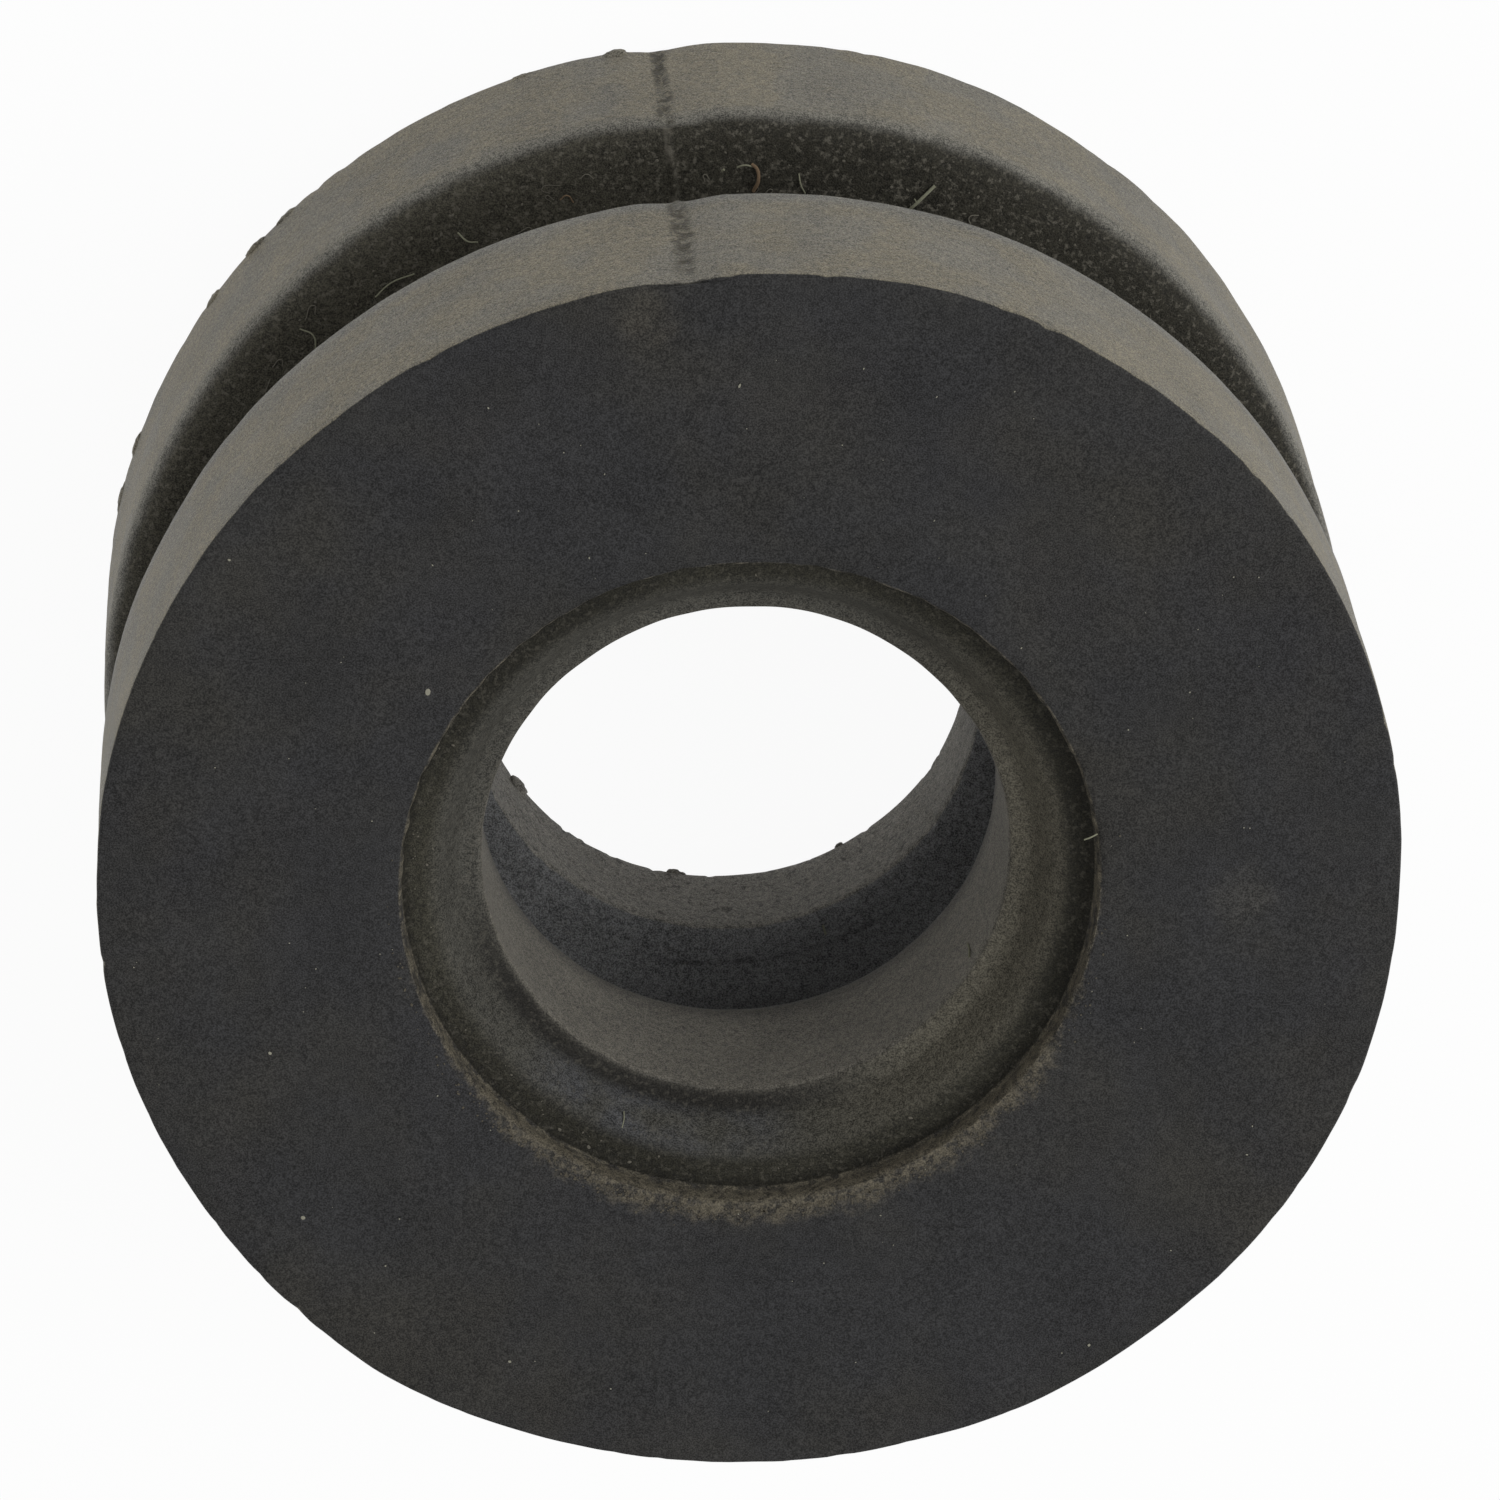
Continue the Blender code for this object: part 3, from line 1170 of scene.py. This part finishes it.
# Painted shade of a crease line on the rear lip's inner face
CREASE_RADIUS = 0.00885
CREASE_WIDTH = 0.00006
CREASE_FADE = (CREASE_WIDTH * 2.2, CREASE_WIDTH * 0.5)
CREASE_LEAST = 0.3
CREASE_BELOW = 0.0002
CREASE_ABOVE = 0.0003
CREASE_SOFTNESS = 0.0001

# Middles of the faint brown stain and of the pale smudge on the front end face
STAIN_PLACE = (0.00343, -0.01767)
SMUDGE_PLACE = (-0.01445, 0.00038)
SPOT_FADE = (0.0013, 0.0002)

# Lighter and darker patches of the ledge: angle in degrees, and change of colour
LEDGE_PATCHES = ((0.0, 0.35), (67.0, -0.18), (180.0, -0.38), (315.0, -0.38))
LEDGE_PATCH_FULL = 5.0
LEDGE_PATCH_END = 40.0


class Sector(NamedTuple):
    """A side of the ring: its middle, and how far it is full and goes at all, in degrees."""

    middle: float
    full: float
    end: float


SEAM_SIDE = Sector(math.degrees(SEAM_ANGLE), 8.0, 12.0)
SLOPE_DUST_SIDE = Sector(168.0, 15.0, 80.0)
HIGHLIGHT_SIDE = Sector(72.0, 6.0, 32.0)
SEAT_SHADE_SIDE = Sector(65.0, 25.0, 62.0)
GROOVE_DUST_SIDE = Sector(318.0, 10.0, 55.0)
LIP_PAINTED_LIGHT_SIDE = Sector(185.0, 20.0, 95.0)
RELIEF_SHADE_SIDE = Sector(45.0, 10.0, 60.0)
DIRT_SIDE = Sector(98.0, 25.0, 95.0)
WIDE_DIRT_SIDE = Sector(98.0, 0.0, 80.0)
LIP_CREASE_SHADE_SIDE = Sector(101.0, 10.0, 30.0)


class Place(NamedTuple):
    """Where a point of the surface is: its axes and its radius."""

    x: Signal
    y: Signal
    z: Signal
    radius: Signal


class Zones(NamedTuple):
    """Masks of the rubber's zones, from 0 to 1."""

    side: Signal
    groove: Signal
    mouth: Signal
    corner: Signal
    ledge: Signal
    slope: Signal
    seat: Signal
    bore: Signal
    relief: Signal
    rear_lip: Signal
    under_lip: Signal


def facing(shade, place, sector):
    """1 in the middle of a sector of the ring, falling to 0 at its ends."""
    turn = math.radians(sector.middle)
    towards = (place.x * math.cos(turn) + place.y * math.sin(turn)) / place.radius
    end = math.cos(math.radians(sector.end))
    return shade.rise(towards, end, math.cos(math.radians(sector.full)))


def recess_zones(shade, sizes, place):
    """Masks of the recess's wall, ledge, slope and seat, and of the corner that takes painted
    shade.
    """
    above = shade.past(place.z, seat_level(sizes), SEAT_LEVEL_FADE)
    inside = shade.past(place.radius, mouth_edge(sizes), RECESS_EDGE_FADE) * above
    low = shade.past(place.z, ledge_level(sizes), WALL_FOOT_FADE)
    on_slope = shade.past(place.radius, ledge_edge(sizes), SLOPE_FADE)
    on_seat = shade.past(place.radius, seat_edge(sizes), SEAT_FADE)
    ragged = shade.stray(CORNER_STRAY)
    corner = shade.past(place.radius + ragged, mouth_edge(sizes), CORNER_FADE)
    return {
        "mouth": inside * (1.0 - low),
        "corner": inside * low * corner,
        "ledge": inside * low,
        "slope": on_slope * above,
        "seat": on_seat * above,
    }


def outer_zones(shade, sizes, place, ragged):
    """Masks of the flanges' sides and of the groove between them."""
    rim = sizes.rim_radius
    lip = sizes.groove_lip
    groove_low = sizes.groove_bottom - lip * GROOVE_COLOUR_SHARE
    groove = shade.band(place.z + ragged, groove_low, sizes.groove_top, GROOVE_SOFTNESS)
    near_rim = shade.past(place.radius + ragged * RIM_STRAY_SHARE, rim, RIM_FADE)
    on_rim = shade.past(place.radius, rim, (-lip, -lip * BARE_LIP_SHARE))
    in_length = shade.band(place.z, SIDE_START, sizes.height - SIDE_END, SIDE_SOFTNESS)
    top = sizes.height + ragged * TOP_STRAY_SHARE
    below_top = shade.rise(place.z, top - TOP_FADE[0], top - TOP_FADE[1])
    side = shade.math("MAXIMUM", near_rim, on_rim * in_length) * (1.0 - groove) * below_top
    return side, groove


def rubber_zones(shade, sizes, place):
    """Masks of the zones, from the radius and the height of each point."""
    lip_end = relief_bottom(sizes) - LIP_EDGE
    lip_start = relief_top(sizes)
    ragged = shade.stray(ZONE_STRAY)
    side, groove = outer_zones(shade, sizes, place, ragged)
    near_bore = shade.past(place.radius, mouth_edge(sizes), BORE_FADE)
    bore_top = seat_level(sizes) - BORE_TOP_MARGIN
    in_bore = shade.band(place.z, sizes.rear_seat_depth, bore_top, ZONE_SOFTNESS)
    frayed = shade.stray(RELIEF_STRAY)
    on_relief = shade.past(place.z, lip_end, LIP_END_FADE)
    relief = shade.past(place.z + frayed, lip_start, RELIEF_END_FADE) * on_relief
    rear_lip = shade.past(place.z, sizes.rear_seat_depth, REAR_SEAT_FADE) * (1.0 - on_relief)
    shade_edge = place.z + ragged * UNDER_LIP_STRAY_SHARE
    under_lip = shade.past(shade_edge, lip_start, UNDER_LIP_FADE)
    not_low = shade.past(place.z + frayed, lip_start, RELIEF_START_FADE)
    return Zones(
        side=side,
        groove=groove * (1.0 - near_bore),
        bore=in_bore * near_bore,
        relief=relief * near_bore,
        rear_lip=rear_lip * near_bore,
        under_lip=under_lip * not_low * near_bore,
        **recess_zones(shade, sizes, place),
    )


def across_seam(shade, place, stray):
    """Distance across the seam's straying line."""
    across = place.y * math.cos(SEAM_ANGLE) - place.x * math.sin(SEAM_ANGLE)
    return shade.math("ABSOLUTE", across + shade.stray(stray))


def seam_darkness(shade, sizes, zones, place):
    """Dark pitted line of the seam on the flanges' sides."""
    distance = across_seam(shade, place, SEAM_STRAY)
    front = shade.past(place.z, sizes.groove_top, SEAM_FRONT_FADE)
    width = front * SEAM_LINE_EXTRA + SEAM_LINE_WIDTH
    line = shade.rise(distance / width, *SEAM_LINE_FADE)
    pits = shade.lifted(shade.patches(SEAM_PITS), SEAM_LEAST)
    ends = 1.0 - shade.past(place.z, sizes.height, SEAM_END_FADE) * SEAM_END_LOSS
    strength = pits * ends * (1.0 - front * FRONT_SEAM_LOSS)
    return line * zones.side * strength * facing(shade, place, SEAM_SIDE)


def seam_ridge(shade, zones, place):
    """Pale ridge of the seam in the groove."""
    distance = across_seam(shade, place, RIDGE_STRAY)
    line = shade.rise(distance, *RIDGE_FADE)
    broken = shade.patches(RIDGE_BREAKS)
    return line * zones.groove * broken * facing(shade, place, SEAM_SIDE)


def mouth_dirt(shade, sizes, place):
    """Packed dirt along the recess's edge, widest on the +Y side."""
    ragged = shade.stray(DIRT_STRAY)
    reach = facing(shade, place, WIDE_DIRT_SIDE) * DIRT_REACH + DIRT_LEAST_REACH
    beyond = (place.radius - mouth_edge(sizes) + ragged) / reach
    ring = shade.rise(beyond, *DIRT_RING_FADE)
    lowest = sizes.height - sizes.step_depth * DIRT_DOWN_WALL
    at_edge = shade.rise(place.z, lowest, sizes.height - DIRT_FULL_DEPTH)
    patchy = shade.lifted(shade.patches(DIRT_PATCHES), DIRT_LEAST)
    return ring * at_edge * patchy * facing(shade, place, DIRT_SIDE)


def lip_crease_shade(shade, sizes, place):
    """Thin line of painted shade, as in a concave crease, round part of the rear lip's inner face.
    """
    top = relief_bottom(sizes)
    at_face = shade.band(place.z, top - CREASE_BELOW, top + CREASE_ABOVE, CREASE_SOFTNESS)
    ragged = shade.stray(CREASE_STRAY)
    distance = shade.math("ABSOLUTE", place.radius + ragged - CREASE_RADIUS)
    ring = shade.rise(distance, *CREASE_FADE)
    broken = shade.lifted(shade.patches(CREASE_BREAKS), CREASE_LEAST)
    return ring * at_face * broken * facing(shade, place, LIP_CREASE_SHADE_SIDE)


def face_spot(shade, place, middle, ragged):
    """Faint ragged spot round a point of the front end face."""
    across = place.x - middle[0]
    along = place.y - middle[1]
    distance = shade.math("SQRT", across * across + along * along)
    return shade.rise(distance + ragged, *SPOT_FADE)


def face_colour(shade, tones, place):
    """Black end face with a thin film, a faint stain and a faint smudge."""
    ragged = shade.stray(SPOT_STRAY)
    stain = face_spot(shade, place, STAIN_PLACE, ragged)
    smudge = face_spot(shade, place, SMUDGE_PLACE, ragged)
    colour = shade.mix(shade.patches(FACE_FILM), tones.face, tones.face_warm)
    colour = shade.mix(stain * STAIN_STRENGTH, colour, tones.brown_dust)
    return shade.mix(smudge * SMUDGE_STRENGTH, colour, tones.dust)


def ledge_colour(shade, tones, place):
    """Rubber of the ledge, with lighter and darker patches round it."""
    change = 1.0
    for angle, step in LEDGE_PATCHES:
        patch = facing(shade, place, Sector(angle, LEDGE_PATCH_FULL, LEDGE_PATCH_END))
        change = patch * step + change
    return shade.scaled(tones.ledge, change)


def slope_colour(shade, tones, place):
    """Rubber of the recess's slope, dusty on one side and with a painted bluish highlight on
    another.
    """
    dusted = facing(shade, place, SLOPE_DUST_SIDE)
    # Painted highlight on one side of the slope.
    painted_highlight = shade.patches(SLOPE_HIGHLIGHT_PATCHES) * facing(shade, place, HIGHLIGHT_SIDE)
    colour = shade.mix(dusted, tones.slope, tones.slope_dust)
    return shade.mix(painted_highlight, colour, tones.slope_painted_highlight)


def recess_colour(shade, tones, zones, place):
    """Colours of the end face and of the recess in it."""
    colour = face_colour(shade, tones, place)
    colour = shade.mix(zones.ledge, colour, ledge_colour(shade, tones, place))
    dusty_wall = shade.lifted(shade.patches(WALL_DUST), WALL_DUST_LEAST)
    colour = shade.mix(zones.mouth * dusty_wall, colour, tones.mouth)
    # Painted shade in the corner at the foot of the recess's wall.
    colour = shade.mix(zones.corner * CORNER_SHADE_STRENGTH, colour, tones.corner)
    colour = shade.mix(zones.slope, colour, slope_colour(shade, tones, place))
    # Painted shade on the seat round the bore, strongest on one side.
    seat_shade = facing(shade, place, SEAT_SHADE_SIDE)
    return shade.mix(zones.seat * seat_shade, colour, tones.seat)


def bore_colour(shade, tones, zones, place, colour):
    """The colour with the bore's lips and relief over it, with painted shade under the front lip
    and on one side of the relief, and painted light on the side of the front lip that the lamp
    doesn't reach.
    """
    colour = shade.mix(zones.bore, colour, tones.bore)
    colour = shade.mix(zones.rear_lip, colour, tones.rear_lip)
    colour = shade.mix(zones.relief, colour, tones.relief)
    painted_light = facing(shade, place, LIP_PAINTED_LIGHT_SIDE) * zones.bore
    shadow = facing(shade, place, RELIEF_SHADE_SIDE) * zones.relief
    # Painted shade under the front lip, and painted light on its side away from the lamp.
    shaded = (1.0 - zones.under_lip * UNDER_LIP_SHADE) * (1.0 + painted_light * LIP_PAINTED_LIGHT)
    return shade.scaled(colour, shaded * (1.0 - shadow * RELIEF_SHADE))


def side_bloom_and_painted_reflection(shade, sizes, tones, place):
    """Bloom with painted grazing reflection on the flanges' sides, cooler in patches and along the
    groove.
    """
    low = sizes.groove_bottom - COOL_MARGIN
    high = sizes.groove_top + COOL_MARGIN
    by_groove = shade.band(place.z, low, high, COOL_SOFTNESS)
    patches = shade.patches(COOL_BLOOM) * COOL_STRENGTH
    cool = shade.math("MAXIMUM", patches, by_groove)
    return shade.mix(cool, tones.side, tones.side_cool)


def zone_colour(shade, sizes, tones, zones, place):
    """Each zone's own colour, with painted light and shade, before the grain and the dirt."""
    colour = recess_colour(shade, tones, zones, place)
    colour = bore_colour(shade, tones, zones, place, colour)
    dusty = facing(shade, place, GROOVE_DUST_SIDE) * GROOVE_DUST_GLOW + 1.0
    colour = shade.mix(zones.groove, colour, shade.scaled(tones.groove, dusty))
    # The sides take bloom with painted reflection mixed in.
    return shade.mix(zones.side, colour, side_bloom_and_painted_reflection(shade, sizes, tones, place))


def rubber_brightness(shade, fine, coarse):
    """How bright the grain makes each point."""
    blotch = shade.noise(BLOTCH_SIZE, 1.0)
    grain = fine * FINE_BRIGHTNESS + BASE_BRIGHTNESS
    return grain + coarse * COARSE_BRIGHTNESS + blotch * BLOTCH_BRIGHTNESS


def pits_and_crease_shade(shade, sizes, zones, place):
    """How dark the rear lip's pits and its painted crease shade are."""
    pits = shade.patches(LIP_PITS) * zones.rear_lip
    # Painted shade along a crease line of the rear lip.
    crease_shade = lip_crease_shade(shade, sizes, place)
    dark = shade.math("MAXIMUM", pits * PIT_DARKNESS, crease_shade * CREASE_SHADE_STRENGTH)
    return dark * HOLLOW_DARKNESS


def rubber_colour(shade, sizes, tones, zones, place, fine, coarse):
    """Each zone's colour, with the grain, the wear, the painted crease shade, the dirt and the lint
    over it.
    """
    colour = zone_colour(shade, sizes, tones, zones, place)
    colour = shade.scaled(colour, rubber_brightness(shade, fine, coarse))
    colour = shade.scaled(colour, 1.0 - pits_and_crease_shade(shade, sizes, zones, place))
    torn = seam_darkness(shade, sizes, zones, place)
    torn_colour = shade.scaled(tones.seam, fine + SEAM_BASE_BRIGHTNESS)
    colour = shade.mix(torn, colour, torn_colour)
    dirt_grain = fine * DIRT_FINE_BRIGHTNESS + DIRT_BASE_BRIGHTNESS
    dirt_grain = dirt_grain + coarse * DIRT_COARSE_BRIGHTNESS
    dirt_colour = shade.scaled(tones.brown_dust, dirt_grain)
    colour = shade.mix(mouth_dirt(shade, sizes, place), colour, dirt_colour)
    linty = zones.groove * GROOVE_LINT + zones.ledge * LEDGE_LINT + zones.bore * BORE_LINT
    colour = shade.mix(shade.patches(LINT) * linty, colour, tones.dust)
    ridge = seam_ridge(shade, zones, place) * RIDGE_STRENGTH
    return shade.mix(ridge, colour, tones.dust)


def rubber_material(sizes, tones):
    """Black rubber with bloom and painted reflection on its sides, dust and painted shade in
    corners, a worn seam.
    """
    material, shade = new_shading("moulded_rubber")
    x, y, z = shade.object_axes()
    place = Place(x, y, z, shade.math("SQRT", x * x + y * y))
    zones = rubber_zones(shade, sizes, place)
    fine = shade.patches(FINE_GRAIN)
    coarse = shade.patches(COARSE_GRAIN)
    roughness = RUBBER_ROUGHNESS + coarse * COARSE_ROUGHNESS
    sockets = {
        "Base Color": rubber_colour(shade, sizes, tones, zones, place, fine, coarse),
        "Roughness": roughness - zones.side * BLOOM_SMOOTHNESS,
        "Specular IOR Level": RUBBER_SPECULAR,
    }
    finish_surface(shade, sockets, fine * FINE_RELIEF + coarse * COARSE_RELIEF)
    return material


# Dust and fibres: the size of their patches and of their grain, and how much each changes
GRAIN_PATCH_SIZE = 0.0005
GRAIN_TEXTURE_SIZE = 0.00006
GRAIN_DARK_SHARE = 0.45
GRAIN_DARK_STRENGTH = 0.5
GRAIN_BASE_BRIGHTNESS = 0.7
GRAIN_FINE_BRIGHTNESS = 0.6
GRAIN_ROUGHNESS = 0.9
GRAIN_SPECULAR = 0.2
GRAIN_RELIEF = 0.00001


def grain_material(name, colour):
    """Matt dust or fibre whose colour changes from grain to grain."""
    material, shade = new_shading(name)
    shade.object_axes()
    change = shade.noise(GRAIN_PATCH_SIZE, 1.0)
    fine = shade.noise(GRAIN_TEXTURE_SIZE, 2.0)
    darker = tuple(channel * GRAIN_DARK_SHARE for channel in colour)
    base = shade.mix(change * GRAIN_DARK_STRENGTH, colour, darker)
    base = shade.scaled(base, fine * GRAIN_FINE_BRIGHTNESS + GRAIN_BASE_BRIGHTNESS)
    sockets = {
        "Base Color": base,
        "Roughness": GRAIN_ROUGHNESS,
        "Specular IOR Level": GRAIN_SPECULAR,
    }
    finish_surface(shade, sockets, fine * GRAIN_RELIEF)
    return material


# The stage

FLOOR_HALF_SIZE = 3.0
FLOOR_GAP = 0.00005
FLOOR_ROUGHNESS = 0.9
SEEN_FLOOR_GLOW = 0.945
LIT_FLOOR_GLOW = 0.60
KEY_PLACE = Vector((-0.36, -0.155, 0.48))
KEY_SIZE = 0.40
SENSOR_WIDTH = 36.0
NEAREST_SEEN = 0.01
WHITE = (1.0, 1.0, 1.0, 1.0)


def glow_rays(shade):
    """1 for rays that should see plain white: from the camera, and off or through pieces."""
    path = shade.node("ShaderNodeLightPath")
    seen = Signal(shade, path.outputs["Is Camera Ray"])
    for ray in ("Is Glossy Ray", "Is Transmission Ray"):
        seen = shade.math("MAXIMUM", seen, Signal(shade, path.outputs[ray]))
    return seen


def floor_material(stage):
    """Pale floor with a glow of its own, that looks white and keeps a faint shadow."""
    material, shade = new_shading("pale_floor")
    pale = shade.node(
        "ShaderNodeBsdfPrincipled",
        sockets={
            "Base Color": colour_value(stage.floor_colour),
            "Roughness": FLOOR_ROUGHNESS,
        },
    )
    white = shade.node("ShaderNodeEmission", sockets={"Strength": 1.0})
    seen = glow_rays(shade)
    factor = seen * (SEEN_FLOOR_GLOW - LIT_FLOOR_GLOW) + LIT_FLOOR_GLOW
    surface = shade.node(
        "ShaderNodeMixShader", sockets={0: factor, 1: pale.outputs[0], 2: white.outputs[0]}
    )
    shade.node("ShaderNodeOutputMaterial", sockets={"Surface": surface.outputs[0]})
    return material


def add_floor(stage):
    """Wide flat floor just under the ring."""
    work = bmesh.new()
    bmesh.ops.create_grid(work, x_segments=1, y_segments=1, size=FLOOR_HALF_SIZE)
    bmesh.ops.translate(work, verts=work.verts, vec=(0.0, 0.0, -FLOOR_GAP))
    mesh = bpy.data.meshes.new("floor")
    work.to_mesh(mesh)
    work.free()
    mesh.materials.append(floor_material(stage))
    floor = bpy.data.objects.new("floor", mesh)
    bpy.context.scene.collection.objects.link(floor)


def add_world(stage):
    """Even light from all round, white where it is seen."""
    world = bpy.data.worlds.new("studio")
    world.use_nodes = True
    shade = Shading(world.node_tree)
    even = shade.node("ShaderNodeBackground", sockets={"Strength": stage.sky_strength})
    white = shade.node("ShaderNodeBackground", sockets={"Strength": 1.0})
    even.inputs["Color"].default_value = WHITE
    white.inputs["Color"].default_value = WHITE
    surface = shade.node(
        "ShaderNodeMixShader",
        sockets={0: glow_rays(shade), 1: even.outputs[0], 2: white.outputs[0]},
    )
    shade.node("ShaderNodeOutputWorld", sockets={"Surface": surface.outputs[0]})
    bpy.context.scene.world = world


def add_lamp(name, place, target, size, power):
    """Soft square lamp that faces its target."""
    data = bpy.data.lights.new(name, "AREA")
    data.shape = "SQUARE"
    data.size = size
    data.energy = power
    lamp = bpy.data.objects.new(name, data)
    lamp.location = place
    lamp.rotation_euler = (target - place).to_track_quat("-Z", "Y").to_euler()
    bpy.context.scene.collection.objects.link(lamp)


def add_camera(stage):
    """Camera at the reference view: above the ring, with the near side at the top."""
    data = bpy.data.cameras.new("camera")
    data.sensor_fit = "HORIZONTAL"
    data.sensor_width = SENSOR_WIDTH
    data.lens = stage.lens
    data.clip_start = NEAREST_SEEN
    camera = bpy.data.objects.new("camera", data)
    camera.location = stage.camera_place
    camera.rotation_euler = stage.camera_turn
    bpy.context.scene.collection.objects.link(camera)
    bpy.context.scene.camera = camera


def plain_colours():
    """Colours shown as they are, with no film look."""
    bpy.context.scene.view_settings.view_transform = "Standard"


# Operators, panel and registration


class INSULATOR_OT_moulding(Operator):
    """Build the moulded ring with its wear"""

    bl_idname = "insulator.moulding"
    bl_label = "Moulded Ring"

    def execute(self, context):
        scene = context.scene
        sizes = scene.insulator_sizes
        material = rubber_material(sizes, scene.insulator_tones)
        work = worn_ring(sizes, scene.insulator_wear)
        ring = add_piece("moulded_ring", work, material)
        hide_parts(NODE)
        return {"FINISHED"}


class INSULATOR_OT_flash(Operator):
    """Add the nubs of flash on the rims and the bore's rear edge"""

    bl_idname = "insulator.flash"
    bl_label = "Flash Nubs"

    def execute(self, context):
        sizes = context.scene.insulator_sizes
        material = bpy.data.materials["moulded_rubber"]
        work = bmesh.new()
        for nub in rim_nubs(sizes, random.Random(5)):
            add_nub(work, nub)
        for nub in REAR_EDGE_NUBS:
            add_nub(work, nub)
        add_piece("flash_nubs", work, material)
        return {"FINISHED"}


class INSULATOR_OT_dust(Operator):
    """Add the dust grains in the groove, at the mouth and on the end face"""

    bl_idname = "insulator.dust"
    bl_label = "Dust"

    def execute(self, context):
        scene = context.scene
        sizes = scene.insulator_sizes
        wear = scene.insulator_wear
        pale = grain_material("pale_dust", scene.insulator_tones.dust)
        brown = grain_material("brown_dust", scene.insulator_tones.brown_dust)
        bright = grain_material("bright_dust", scene.insulator_tones.bright_dust)
        add_piece("groove_dust", groove_dust(sizes, wear), pale, smooth=False)
        add_piece("mouth_dust", mouth_dust(sizes, wear), brown, smooth=False)
        add_piece("ledge_dust", ledge_dust(sizes, wear), pale, smooth=False)
        add_piece("face_dust", face_dust(sizes, wear), bright, smooth=False)
        return {"FINISHED"}


class INSULATOR_OT_fibres(Operator):
    """Add the stray fibres"""

    bl_idname = "insulator.fibres"
    bl_label = "Fibres"

    def execute(self, context):
        scene = context.scene
        sizes = scene.insulator_sizes
        wear = scene.insulator_wear
        pale = grain_material("pale_fibre", scene.insulator_tones.pale_fibre)
        brown = grain_material("brown_fibre", scene.insulator_tones.brown_fibre)
        dull = grain_material("lint", scene.insulator_tones.dust)
        add_piece("groove_lint", fibre_tubes("groove_lint", groove_lint(sizes, wear)), dull)
        add_piece("pale_fibres", fibre_tubes("pale_fibres", pale_fibres(sizes)), pale)
        add_piece("brown_fibres", fibre_tubes("brown_fibres", brown_fibres(sizes)), brown)
        return {"FINISHED"}


class INSULATOR_OT_stage(Operator):
    """Add the floor, the lamp, the even light and the camera"""

    bl_idname = "insulator.stage"
    bl_label = "Stage"

    def execute(self, context):
        stage = context.scene.insulator_stage
        target = Vector((0.0, 0.0, context.scene.insulator_sizes.height / 2.0))
        add_floor(stage)
        add_world(stage)
        add_lamp("key", KEY_PLACE, target, KEY_SIZE, stage.key_power)
        add_camera(stage)
        plain_colours()
        return {"FINISHED"}


OPERATORS = (
    INSULATOR_OT_moulding,
    INSULATOR_OT_flash,
    INSULATOR_OT_dust,
    INSULATOR_OT_fibres,
    INSULATOR_OT_stage,
)


class VIEW3D_PT_insulator(Panel):
    """Lists the steps that build the insulator"""

    bl_label = "Radiator Mount Insulator"
    bl_space_type = "VIEW_3D"
    bl_region_type = "UI"
    bl_category = "Insulator"

    def draw(self, context):
        for operator in OPERATORS:
            self.layout.operator(operator.bl_idname)
        for group in SETTINGS:
            settings = getattr(context.scene, group)
            column = self.layout.column()
            for name in settings.bl_rna.properties.keys():
                if name not in ("rna_type", "name"):
                    column.prop(settings, name)


SETTINGS = {
    "insulator_sizes": InsulatorSizes,
    "insulator_wear": InsulatorWear,
    "insulator_tones": InsulatorTones,
    "insulator_stage": InsulatorStage,
}


def register():
    for name, group in SETTINGS.items():
        bpy.utils.register_class(group)
        setattr(bpy.types.Scene, name, PointerProperty(type=group))
    for operator in OPERATORS:
        bpy.utils.register_class(operator)
    bpy.utils.register_class(VIEW3D_PT_insulator)


def unregister():
    bpy.utils.unregister_class(VIEW3D_PT_insulator)
    for operator in reversed(OPERATORS):
        bpy.utils.unregister_class(operator)
    for name, group in reversed(list(SETTINGS.items())):
        delattr(bpy.types.Scene, name)
        bpy.utils.unregister_class(group)


def main():
    register()
    bpy.ops.insulator.moulding()
    bpy.ops.insulator.flash()
    bpy.ops.insulator.dust()
    bpy.ops.insulator.fibres()
    bpy.ops.insulator.stage()


if __name__ == "__main__":
    main()
